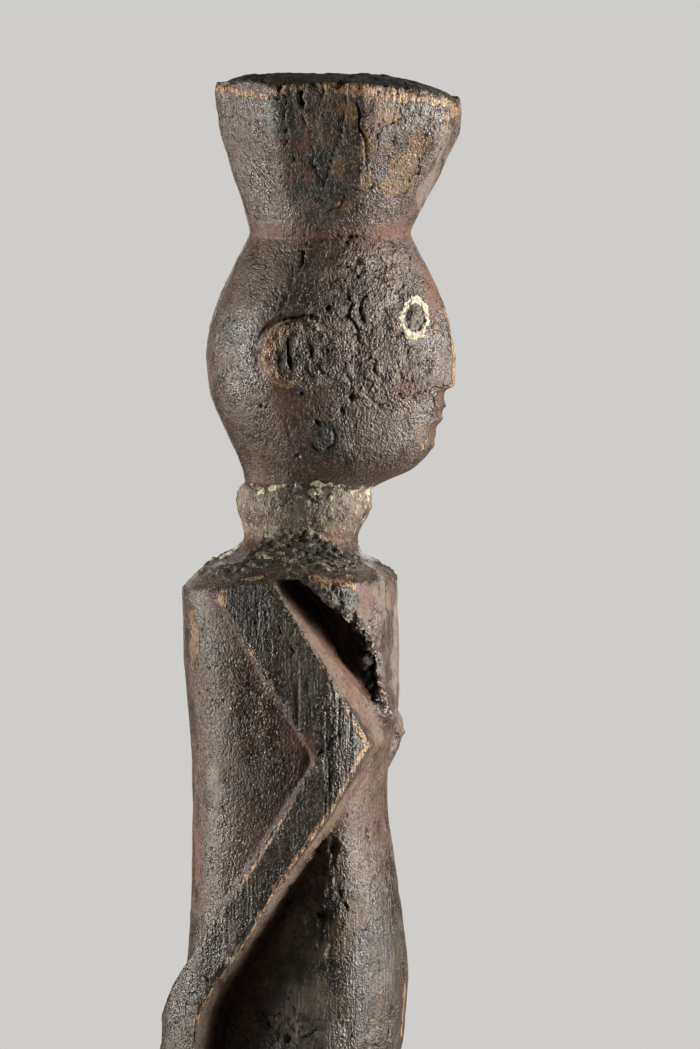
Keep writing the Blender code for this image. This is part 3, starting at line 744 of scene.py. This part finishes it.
def eroded(skin, weight):
    """Wood eaten into upright shreds and small holes."""
    points = skin.points
    shreds = lumps(points, 3.2, 71, layers=3, stretch=2.2)
    skin.carve(weight * (0.5 + 1.5 * shreds))
    skin.paint("pit", weight * 1.6 * (-shreds - 0.15) - 0.3)
    skin.paint("scabby", weight * 1.5 - 0.6)


def worn_edges(skin, view, sharp):
    """Chips along the edges, and the lines where hands have rubbed them down to light wood."""
    points = skin.points
    height = points[:, 2]
    chips = eased(lumps(points, 4.2, 81, layers=2, stretch=1.6), 0.05, 0.55)
    skin.carve(EDGE_CHIP_DEPTH * chips * eased(sharp, 0.30, 0.8))
    edge = eased(sharp, EDGE_START, EDGE_FULL) * eased(height, 130.0, 110.0)
    skin.paint("worn", edge * (0.5 + 0.4 * lumps(points, 22.0, 85, layers=2)) - 0.1)
    for half, amount, *pixels in WORN_LINES:
        for _, path in both_sides(view.path(pixels)):
            index, away, _, _ = skin.along(path, 3.0 * half + 2.0, waver=0.5)
            broken = 0.35 * lumps(points[index], 5.0, 87, layers=2) + 0.35 * lumps(points[index], 17.0, 89)
            inside = amount * (1.25 - 0.85 * away / half) + broken
            skin.paint("worn", np.where(away < 2.5 * half, inside, -1.0), index)


def arm_edges(skin, view):
    """The steps behind the arms, and dust on the walls in front of them that is partly painted light."""
    for pixels in ARM_BACK_STEPS:
        for side, path in both_sides(view.path(pixels)):
            index, away, aside, _ = skin.along(path, 7.0, waver=0.3)
            behind = eased(aside * side, 0.3, -0.3)
            skin.relief[index] += ARM_STEP_RISE * (1.0 - behind) * eased(away, 5.0, 0.5)
            skin.carve(ARM_STEP_DEPTH * behind * eased(away, 6.0, 0.3), index)
    for pixels, reach in ARM_WALLS:
        for _, path in both_sides(view.path(pixels)):
            index, away, _, _ = skin.along(path, reach + 2.0)
            # Partly painted light: walls that face forwards are painted paler and pinker, as where lit
            facing = eased(skin.normals[index, 1], -0.35, -0.7) * eased(away, reach, 0.6 * reach)
            skin.paint("chalk", facing * 1.1 - 0.75, index)
            skin.paint("reddish", facing * 0.9 - 0.6, index)


def rim_and_crown(skin, sharp):
    """The headdress's chipped golden rim and its rough dark top."""
    points = skin.points
    height = points[:, 2]
    top = eased(skin.normals[:, 2], 0.55, 0.85) * eased(height, 520.0, 532.0)
    skin.relief += top * CROWN_LUMP_HEIGHT * (lumps(points, 7.0, 91, layers=3) - 0.5)
    chop = np.abs(lumps(points * np.array([1.0, 0.35, 1.0]), 3.2, 93, layers=2))
    skin.carve(CROWN_CHOP_DEPTH * top * eased(chop, 0.12, 0.0))
    skin.paint("char", top * 1.6 - 0.6)
    skin.paint("crust", top * 1.6 - 0.9)
    rim = eased(height, 528.0, 540.0) * eased(sharp, 0.1, 0.45)
    skin.carve(RIM_CHIP_DEPTH * rim * eased(lumps(points, 7.5, 95, layers=2), 0.0, 0.5))
    fibres = lumps(points, 2.1, 97, layers=2, stretch=3.5)
    skin.relief += 0.25 * fibres * eased(height, 527.0, 533.0) * (1.0 - top)


def heaped_crust(skin, view):
    """The lumpy black and greyish dirt at the neck's foot."""
    points = skin.points
    heaped = patches(skin, view, DIRT_HEAPS) + 0.3 * lumps(points, 7.0, 102, layers=3)
    outwards = np.hypot(points[:, 0], points[:, 1])
    slope = span(points[:, 2], *SHOULDER_SLOPE) * eased(outwards, 49.5, 43.0)
    slope = slope * eased(lumps(points, 12.0, 101, layers=3), -0.2, 0.5)
    slope = np.maximum(0.8 * slope, eased(heaped, 0.0, 0.3))
    grains, _, shade = cells(points, 2.7, 103)
    fine, _, fine_shade = cells(points, 1.5, 105)
    rough = lumps(points, 3.6, 107, layers=2)
    heap = 0.45 + 0.9 * rough + eased(grains, 0.6, 0.15) * shade + 0.45 * eased(fine, 0.6, 0.2)
    skin.relief += slope * np.clip(heap, -0.5, 1.9)
    skin.paint("crust", slope * 1.7 - 0.7 + 0.25 * lumps(points, 5.0, 104, layers=2))
    crumbs = np.where((shade > 0.84) | (fine_shade > 0.80), 1.0, -0.8)
    skin.paint("crumb", slope * 1.1 * (crumbs + 0.8 * lumps(points, 6.0, 108)) - 0.4)
    skin.paint("pit", slope * (-1.4 * rough - 0.1) - 0.2)


def collar_crust(skin, view):
    """The white line on the collar's edge, and the pale dirt round the collar."""
    index, away, _, _ = skin.along(view.path(COLLAR_CRUST), 9.0)
    points = skin.points[index]
    lip = eased(away + 1.2 * lumps(points, 3.0, 109, layers=2), 1.9, 0.4)
    skin.relief[index] += lip * np.clip(0.4 + 0.8 * lumps(points, 2.6, 111, layers=2), 0.0, 1.3)
    skin.paint("kaolin", lip * 1.2 - 0.75 + 0.8 * lumps(points, 10.0, 113, layers=3), index)
    points = skin.points
    height = points[:, 2]
    collar = span(height, *COLLAR)
    skin.relief += collar * 0.35 * lumps(points, 3.0, 115, layers=3)
    haze = collar * (0.62 + 0.6 * lumps(points, 9.0, 117, layers=3))
    haze = haze + 0.25 * span(height, *COLLAR_LOWER_HALF)
    skin.paint("chalk", haze * 1.2 - 0.45)
    skin.paint("crumb", collar * (lumps(points, 2.0, 118, layers=3) + 0.15) - 0.1)
    skin.paint("kaolin", span(height, *COLLAR_LIP) * (lumps(points, 5.0, 119, layers=3) + 0.1) - 0.25)
    for mark in PALE_PATCHES:
        index, field = view.patch(skin, *mark)
        skin.paint("kaolin", field + 0.65 * lumps(points[index], 2.2, 112, layers=2) - 0.30, index)
        skin.relief[index] += PIGMENT_THICKNESS * eased(field, 0.0, 0.4)


def chest_ridge(skin, view):
    """The broken, lumpy edge in front of the chest's hollow."""
    index, away, _, _ = skin.along(view.path(RIDGE), 14.0)
    points = skin.points[index]
    # Painted shade: the ridge's inner side, facing into the hollow, is painted darker and crusted black
    inner = eased(skin.normals[index, 1], -0.05, 0.25) * eased(away, 14.0, 9.0)
    skin.paint("hollow", 1.8 * inner - 0.8, index)
    skin.paint("crust", 1.6 * inner - 0.9, index)
    near = eased(away, 6.5, 1.5)
    upper = eased(points[:, 2], 338.0, 350.0)
    lower = eased(points[:, 2], 338.0, 322.0)
    chunk, gap, shade = cells(wavered(points, 1.2, 3.0, 126), 6.2, 121)
    heap = (3.6 + 1.6 * lower) * (shade - 0.50) + 0.8 * lumps(points, 2.2, 123, layers=2)
    broken = near * (1.0 - 0.6 * upper)
    skin.relief[index] += broken * (heap + (1.0 + 0.8 * lower) * eased(chunk, 0.5, 0.1))
    # The chunks are glossy and get painted highlight specks
    skin.paint("polish", 1.6 * broken - 0.7, index)
    skin.carve(1.2 * broken * eased(gap, 0.16, 0.0), index)
    skin.paint("pit", broken * (0.9 - gap * 4.5) - 1.2 * (1 - broken), index)
    golden = near * (0.35 + 0.65 * upper) + 0.5 * lumps(points, 3.0, 125, layers=2, stretch=2.0)
    skin.paint("worn", golden - 0.80, index)


def eye(skin, view, side):
    """An eye: a ragged ring of white pigment round a dark plug. The seen eye is side -1."""
    index, aside, above, _ = view.about(skin, EYE, reach=14.0, side=side)
    points = skin.points[index]
    above = above / EYE_RING_TALL
    far = np.hypot(aside / EYE_RING_WIDE, above) + 0.10 * lumps(points, 1.7, 131, layers=2)
    thick = 0.23 + 0.05 * above**2 + 0.16 * lumps(points, 2.4, 132, layers=3)
    ring = 1.0 - np.abs(far - 1.0) / thick
    skin.relief[index] += 0.30 * eased(ring, -0.3, 0.4)
    skin.relief[index] += 0.8 * eased(far, 0.62, 0.40) - 0.5 * eased(np.abs(far - 0.72), 0.12, 0.0)
    skin.relief[index] += 0.25 * eased(far, 0.7, 0.3) * lumps(points, 1.5, 133, layers=2)
    skin.paint("kaolin", ring * 1.2 - 0.1, index)
    skin.paint("crumb", 0.42 - far, index)
    skin.paint("char", 0.60 - far, index)


def ear(skin, view, side):
    """The ear's broken face and the golden wear on its back edge."""
    index, aside, above, out = view.about(skin, EAR_MIDDLE, reach=22.0, side=side)
    points = skin.points[index]
    far = np.hypot(aside / EAR_HALF_LENGTH, above / EAR_HALF_HEIGHT)
    inside = eased(far, 1.0, 0.8) * eased(np.abs(out), 8.0, 5.0)
    rough = lumps(points, 4.4, 141, layers=3, stretch=1.5)
    skin.relief[index] += inside * (0.55 * rough - 0.2)
    skin.paint("pit", inside * (-1.1 * rough - 0.9) - 0.4, index)
    skin.paint("char", inside * (0.9 * lumps(points, 7.0, 147, layers=2) + 0.05) - 0.3, index)
    skin.paint("chalk", inside * (0.8 * lumps(points, 5.0, 148, layers=2) + 0.25) - 0.2, index)
    pad = eased(aside, 6.0, 1.0)
    over = eased(above, 4.0, 10.0)
    # A groove round the ear's top and back, with painted shadow darkening it along the top
    skin.carve((0.35 + 0.9 * over) * pad * eased(np.abs(far - 1.10), 0.11, 0.03), index)
    skin.paint("pit", over * pad * (0.8 - np.abs(far - 1.08) / 0.07) - 0.6 * (1 - over), index)
    skin.relief[index] += 0.7 * pad * eased(far, 1.0, 0.93)
    skin.paint("scabby", inside * 1.6 - 0.8, index)
    back = eased(aside, -5.0, -8.0) * eased(far, 1.1, 0.9)
    fibres = lumps(points, 1.9, 143, layers=2, stretch=4.0)
    skin.relief[index] += 0.5 * back * fibres
    skin.paint("pit", back * (-1.2 * fibres - 0.3) - 0.4, index)
    front = eased(aside, 6.5, 9.5) * eased(np.abs(np.abs(above) - 10.5), 3.5, 1.0)
    skin.paint("chalk", front * 1.2 - 0.5 + 0.5 * lumps(points, 2.0, 145, layers=2), index)


def grain(skin, view):
    """Long grooves where the grain shows, on the arms and the belly."""
    points = skin.points
    weight = np.zeros(len(points))
    for pixels, width in ((UPPER_ARM, 15.0), (FOREARM, 13.0)):
        for _, path in both_sides(view.path(pixels)):
            index, away, _, _ = skin.along(path, 20.0)
            weight[index] = np.maximum(weight[index], eased(away, width, width - 4.0))
    for pixels in ARM_BACK_STEPS:
        for side, path in both_sides(view.path(pixels)):
            index, away, aside, _ = skin.along(path, 12.0, waver=0.3)
            weight[index] *= 1.0 - eased(aside * side, 0.3, -0.3) * eased(away, 12.0, 11.0)
    belly = span(points[:, 2], *BELLY) * eased(points[:, 1], 6.0, -8.0)
    weight = np.maximum(weight, belly)
    strength = 0.5 + 0.5 * eased(lumps(points, 24.0, 151), -0.2, 0.4)
    strength[skin.within(view.spot(ELBOW), 22.0)] += 0.8
    groove = lumps(points, 1.9, 153, layers=2, stretch=16.0)
    skin.relief += GRAIN_DEPTH * weight * strength * groove
    skin.paint("grain", weight * strength * 1.2 - 0.35)


def drying_checks(skin):
    """Thin upright cracks, mostly on the base, the legs and the crown."""
    points = skin.points
    height = points[:, 2]
    where = np.maximum(eased(height, 150.0, 60.0), eased(height, 505.0, 530.0))
    line = np.abs(lumps(points + 2.0 * lumps(points, 20.0, 161)[:, None], 13.0, 163, stretch=7.0))
    open_here = eased(lumps(points, 26.0, 165, stretch=2.5), 0.10, 0.35) * where
    skin.carve(DRYING_CHECK_DEPTH * open_here * eased(line, 0.045, 0.0))
    skin.paint("pit", np.where(open_here > 0.2, 0.75 - line / 0.05, -1.0))


def carved_figure(view):
    """The figure with its surface carved and its fields painted, as one piece."""
    mesh = copied_solid(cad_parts["figure"])
    skin = Skin(mesh)
    soften(skin)
    sharp = np.clip(skin.bulge(4) * 5.0, -1.0, 1.0)
    sunk = -skin.bulge(70)
    hewn(skin)
    hew_headdress(skin)
    flaking(skin, view)
    worn_edges(skin, view, sharp)
    arm_edges(skin, view)
    rim_and_crown(skin, sharp)
    heaped_crust(skin, view)
    collar_crust(skin, view)
    chest_ridge(skin, view)
    for side in (-1, 1):
        eye(skin, view, side)
        ear(skin, view, side)
    grain(skin, view)
    drying_checks(skin)
    for width, depth, *pixels in CRACKS:
        crack(skin, view, pixels, width, depth)
    for mark in PITS:
        pit(skin, view, *mark)
    for name, marks, strength, spread in PAINTED:
        skin.paint(name, strength * ragged_patches(skin, view, marks) + spread)
    skin.paint("reddish", sunk * 0.55)
    # Painted shade: the surface is painted darker where it is sunk
    skin.paint("hollow", sunk * 0.6)
    piece = bpy.data.objects.new("carved_figure", carved_mesh(mesh, skin))
    bpy.context.scene.collection.objects.link(piece)
    piece.data.materials.clear()
    piece.data.materials.append(old_dark_wood())
    return piece


def flaking(skin, view):
    """Flaking and eaten wood where the photograph shows it, and on the head's unseen side."""
    scabby = eased(ragged_patches(skin, view, SCABBY_PATCHES), 0.0, 0.5)
    rough = np.clip(ragged_patches(skin, view, ROUGH_PATCHES), 0.0, 1.0)
    far_side = eased(skin.normals[:, 0], 0.2, 0.7) * span(skin.points[:, 2], *HEAD_SIDES)
    scabs(skin, np.maximum(scabby, 0.55 * np.maximum(rough, far_side)))
    eroded(skin, eased(ragged_patches(skin, view, ERODED_PATCHES), 0.0, 0.5))


def carved_mesh(mesh, skin):
    """The mesh moved to the carved surface, within the solid's box, with the fields on it."""
    low, high = (np.array(corner) / MM for corner in cad_box)
    carved = skin.points + skin.normals * skin.relief[:, None]
    flat = skin.points[:, 2] < UNDERSIDE
    carved[flat] = skin.points[flat]
    carved = np.clip(carved, low + INSET, high - INSET)
    carved[:, 2] = np.where(flat, low[2], carved[:, 2])
    mesh.vertices.foreach_set("co", (carved * MM).ravel())
    for name, field in skin.fields.items():
        kept = mesh.attributes.new(name, "FLOAT", "POINT")
        kept.data.foreach_set("value", field.astype(np.float32))
    mesh.update()
    triangles = 2 * len(mesh.polygons)
    if triangles > MOST_TRIANGLES:
        share = MOST_TRIANGLES / triangles
        mesh = evened(mesh, "DECIMATE", ratio=share, use_collapse_triangulate=True)
    mesh.shade_smooth()
    return mesh


def old_dark_wood():
    """Dark wood with a dull greasy polish, red dust in its hollows, pale worn edges and pigment,
    with painted shade in its hollows and cracks and painted highlight specks.
    """
    material = bpy.data.materials.new("old_dark_wood")
    finish = Finish(material)
    more, less, mixed, field, noise = finish.more, finish.less, finish.mixed, finish.field, finish.noise

    place = finish.node("TexCoord", output="Object")
    upright = finish.node("VectorMath", {"operation": "MULTIPLY"}, _0=place, _1=(1.0, 1.0, 0.06))
    blotch = noise(place, 0.028, detail=3.0)
    mottle = noise(place, 0.0075, detail=5.0, roughness=0.62)
    flaked = noise(place, 0.0120, detail=6.0, roughness=0.62, distortion=0.3)
    chipped = noise(place, 0.0048, detail=5.0, roughness=0.66, distortion=0.4)
    speck = noise(place, 0.0018, detail=3.0, roughness=0.68)
    grit = noise(place, 0.00075, detail=2.0, roughness=0.6)
    grains = noise(place, 0.00085, detail=0.0)
    flecks = more(noise(place, 0.0010, detail=1.0), 0.60, 0.68)
    fibre = noise(upright, 0.0012, detail=3.0, roughness=0.6)
    coarse_fibre = noise(upright, 0.0032, detail=2.0)
    pocks = finish.node("TexVoronoi", output="Distance", Vector=place, Scale=1.0 / 0.0030)
    ragged = 0.7 * (mottle - 0.5) + 0.6 * (speck - 0.5)

    # Where the fields are over their thresholds, with ragged edges
    scabby = more(field("scabby"), -0.8, 0.6)
    worn = more(field("worn") + ragged * 1.2 + 0.8 * (fibre - 0.5), 0.30, 0.52)
    grained = more(field("grain"), -0.2, 0.5)
    line = field("line_half") - abs(field("line_aside"))
    split = more(line + 0.5 * (speck - 0.5), -0.05, 0.16)
    pitted = more(field("pit") + 0.5 * (speck - 0.5), 0.30, 0.52)
    shaded = more(field("pit"), -0.1, 0.7)
    chalky = more(field("chalk") + ragged, 0.05, 0.65)
    white = more(field("kaolin") + ragged * 1.3, 0.16, 0.34)
    crumbs = more(field("crumb") + ragged * 1.2, 0.05, 0.35)
    crusty = more(field("crust") + ragged, -0.1, 0.35)
    ochre_level = field("ochre") + 1.5 * (mottle - 0.5) + 0.5 * (speck - 0.5)
    ochre = more(ochre_level, 0.06, 0.26)
    dirt_level = field("char") + ragged
    charred = more(dirt_level, 0.10, 0.25)
    reddish = more(field("reddish") + 0.9 * (blotch - 0.5) + 0.5 * ragged, -0.1, 0.8)
    # Painted shade: hollow darkens sunk places, the chest hollow's inside and parts of head and belly
    hollow = more(field("hollow"), 0.0, 0.8)
    gloss_and_glint = more(field("polish") + ragged, -0.2, 0.6)

    # The patina's own plates, chips and pocks
    plate_level = flaked + 0.10 * scabby - 0.50
    plate = more(plate_level, 0.0, 0.012)
    chip_level = chipped + 0.16 * scabby - 0.62
    chip = more(chip_level, 0.0, 0.02)
    plate_edge = less(abs(plate_level), 0.0, 0.012) * more(mottle + 0.25 * scabby, 0.60, 0.70)
    edge = finish.larger(plate_edge, less(abs(chip_level), 0.0, 0.022) * scabby)
    pock = less(pocks, 0.10, 0.30) * more(chipped + 0.12 * scabby, 0.52, 0.60)
    outline = less(abs(ochre_level - 0.10), 0.0, 0.09) + less(abs(dirt_level - 0.12), 0.0, 0.07)
    outline = outline * more(chipped, 0.44, 0.56)
    # Painted highlight: pale specks that stand for glints, thickest where the wood is glossy
    glint = flecks * (0.15 + 0.75 * gloss_and_glint) * more(mottle, 0.38, 0.56)
    # Painted shade: cracks, pits and pocks are painted nearly black
    dark = finish.larger(finish.larger(split, pitted), pock * 0.8)

    # The colours, each laid over the ones before it
    gold = mixed(more(fibre, 0.36, 0.60), (0.060, 0.028, 0.012), (0.45, 0.27, 0.120))
    gold = mixed(less(speck, 0.38, 0.50), gold, (0.050, 0.024, 0.011))
    colour = finish.layered(
        mixed(more(blotch, 0.38, 0.62), (0.036, 0.020, 0.012), (0.056, 0.032, 0.019)),
        (more(mottle, 0.42, 0.68), (0.088, 0.054, 0.034)),
        (less(mottle, 0.34, 0.47) * 0.75, (0.024, 0.017, 0.013)),
        (plate * 0.35, (0.080, 0.054, 0.039)),
        (chip * scabby * 0.6, (0.120, 0.076, 0.052)),
        (more(speck, 0.56, 0.70) * 0.6, (0.180, 0.126, 0.088)),
        (less(speck, 0.34, 0.46) * 0.8, (0.014, 0.009, 0.007)),
        (more(grit, 0.58, 0.70) * 0.55, (0.23, 0.18, 0.135)),
        (less(grit, 0.30, 0.42) * 0.5, (0.012, 0.008, 0.006)),
        (reddish * 0.75, (0.130, 0.052, 0.031)),
        (ochre * 0.78, mixed(more(speck, 0.3, 0.75), (0.100, 0.060, 0.020), (0.230, 0.125, 0.038))),
        (grained * 0.75, (0.036, 0.028, 0.020)),
        (grained * more(blotch, 0.50, 0.66) * 0.5, (0.085, 0.062, 0.026)),
        (grained * less(fibre, 0.38, 0.52) * 0.75, (0.010, 0.008, 0.006)),
        (grained * more(fibre, 0.56, 0.68) * 0.45, (0.15, 0.10, 0.058)),
        (charred * 0.85, mixed(more(speck, 0.45, 0.65), (0.018, 0.018, 0.014), (0.050, 0.048, 0.034))),
        (outline * 0.8, (0.010, 0.008, 0.006)),
        (worn * 0.92, gold),
        (crusty * 0.9, (0.020, 0.017, 0.013)),
        (chalky * 0.4, (0.26, 0.215, 0.165)),
        (crumbs * 0.85, mixed(more(speck, 0.42, 0.58), (0.075, 0.060, 0.040), (0.31, 0.265, 0.175))),
        (white * 0.95, mixed(more(speck, 0.36, 0.56), (0.25, 0.215, 0.14), (0.66, 0.61, 0.44))),
        # painted highlight specks
        (glint * 0.85, (0.50, 0.46, 0.41)),
        # painted shade in holes and hollows
        (shaded * 0.25 + hollow * 0.50, (0.018, 0.010, 0.007)),
        (edge * 0.75, (0.008, 0.006, 0.005)),
        # painted shade in cracks, pits and pocks
        (dark * 0.95, (0.004, 0.003, 0.0025)),
    )

    roughness = 0.33 + 0.14 * more(mottle, 0.38, 0.66) + 0.25 * (speck - 0.5) + 0.20 * reddish
    roughness = roughness - 0.10 * flecks - 0.15 * gloss_and_glint - 0.06 * grained + 0.06 * charred
    roughness = roughness + 0.10 * more(blotch, 0.45, 0.62)
    roughness = roughness + 0.35 * (crusty + white + chalky * 0.5 + crumbs * 0.5) + 0.12 * ochre
    roughness = finish.node("Clamp", Value=roughness + 0.4 * dark, Min=0.16, Max=0.95)

    height = 0.35 * mottle + (0.24 + 0.26 * scabby) * grains + 0.55 * speck + 0.22 * grit
    height = height + (0.20 + 0.35 * gloss_and_glint) * flecks
    height = height + (0.05 + 0.50 * grained + 0.4 * worn) * fibre
    height = height + (0.10 + 0.20 * grained) * coarse_fibre
    height = height - 0.2 * outline
    height = height + plate * 0.16 + plate * scabby * 0.16 + chip * scabby * 0.24
    height = height - 0.45 * pock - 0.5 * split - 0.4 * pitted
    height = height + 0.35 * white * speck + 0.35 * crusty * grit + 0.3 * crumbs * speck
    bump = finish.node("Bump", Height=height, Strength=1.0, Distance=MM)
    surface = finish.node("BsdfPrincipled", Base_Color=colour, Roughness=roughness, Normal=bump,
                          Specular_IOR_Level=0.55)
    finish.node("OutputMaterial", output=None, Surface=surface)
    return material


def pale_floor():
    """The studio's pale floor, whose far part is as bright as the backdrop."""
    material = bpy.data.materials.new("pale_floor")
    finish = Finish(material)
    place = finish.node("TexCoord", output="Object")
    away = finish.node("VectorMath", {"operation": "LENGTH"}, output="Value", _0=place)
    glow = finish.node("Emission", Color=BACKDROP_COLOUR, Strength=1.0)
    matt = finish.node("BsdfPrincipled", Base_Color=(0.45, 0.44, 0.43), Roughness=0.9)
    bounce = finish.node("BsdfPrincipled", Base_Color=(0.10, 0.098, 0.095), Roughness=0.9)
    shown = finish.node("MixShader", _0=finish.more(away, FLOOR_LIT, FLOOR_PLAIN), _1=matt, _2=glow)
    seen = finish.node("LightPath", output="Is Camera Ray")
    both = finish.node("MixShader", _0=seen, _1=bounce, _2=shown)
    finish.node("OutputMaterial", output=None, Surface=both)
    return material


def stage():
    """A wide floor, and a plain backdrop of the same pale colour."""
    work = bmesh.new()
    bmesh.ops.create_circle(work, cap_ends=True, segments=96, radius=FLOOR_RADIUS)
    mesh = bpy.data.meshes.new("floor")
    work.to_mesh(mesh)
    work.free()
    floor = bpy.data.objects.new("floor", mesh)
    bpy.context.scene.collection.objects.link(floor)
    floor.data.materials.append(pale_floor())
    world = bpy.data.worlds.new("backdrop")
    finish = Finish(world)
    seen = finish.node("LightPath", output="Is Camera Ray")
    lit = finish.node("Background", Color=(1.0, 0.98, 0.96), Strength=BACKDROP_FILL)
    shown = finish.node("Background", Color=BACKDROP_COLOUR)
    both = finish.node("MixShader", _0=seen, _1=lit, _2=shown)
    finish.node("OutputWorld", output=None, Surface=both)
    bpy.context.scene.world = world


def light_stage():
    """Soft boxes round the figure, placed by their bearings from the camera."""
    camera_bearing = CAMERA_AZIMUTH - 90.0
    for name, (aside, away, up, wide, tall, power) in SOFT_BOXES.items():
        light = bpy.data.lights.new(name, "AREA")
        light.shape = "RECTANGLE"
        light.size = wide
        light.size_y = tall
        light.energy = power
        light.color = SOFT_BOX_COLOUR
        box = bpy.data.objects.new(name, light)
        bpy.context.scene.collection.objects.link(box)
        bearing = math.radians(camera_bearing - aside)
        box.location = (away * math.cos(bearing), away * math.sin(bearing), up)
        towards = SOFT_BOX_AIM - box.location
        box.rotation_euler = towards.to_track_quat("-Z", "Y").to_euler()
        box.visible_camera = False


def photo_camera(view):
    """The camera that the photograph was taken with."""
    data = bpy.data.cameras.new("photo_camera")
    data.sensor_fit = "VERTICAL"
    data.sensor_height = SENSOR_HEIGHT
    data.lens = SENSOR_HEIGHT * CAMERA_DISTANCE / FRAME_HEIGHT
    camera = bpy.data.objects.new("photo_camera", data)
    bpy.context.scene.collection.objects.link(camera)
    camera.location = view.eye
    camera.rotation_euler = view.back.to_track_quat("Z", "Y").to_euler()
    bpy.context.scene.camera = camera


view = View(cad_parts["figure"])
photo_camera(view)
light_stage()
stage()
bpy.context.scene.view_settings.view_transform = "Standard"

figure = carved_figure(view)
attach(figure, "root")
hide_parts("figure")
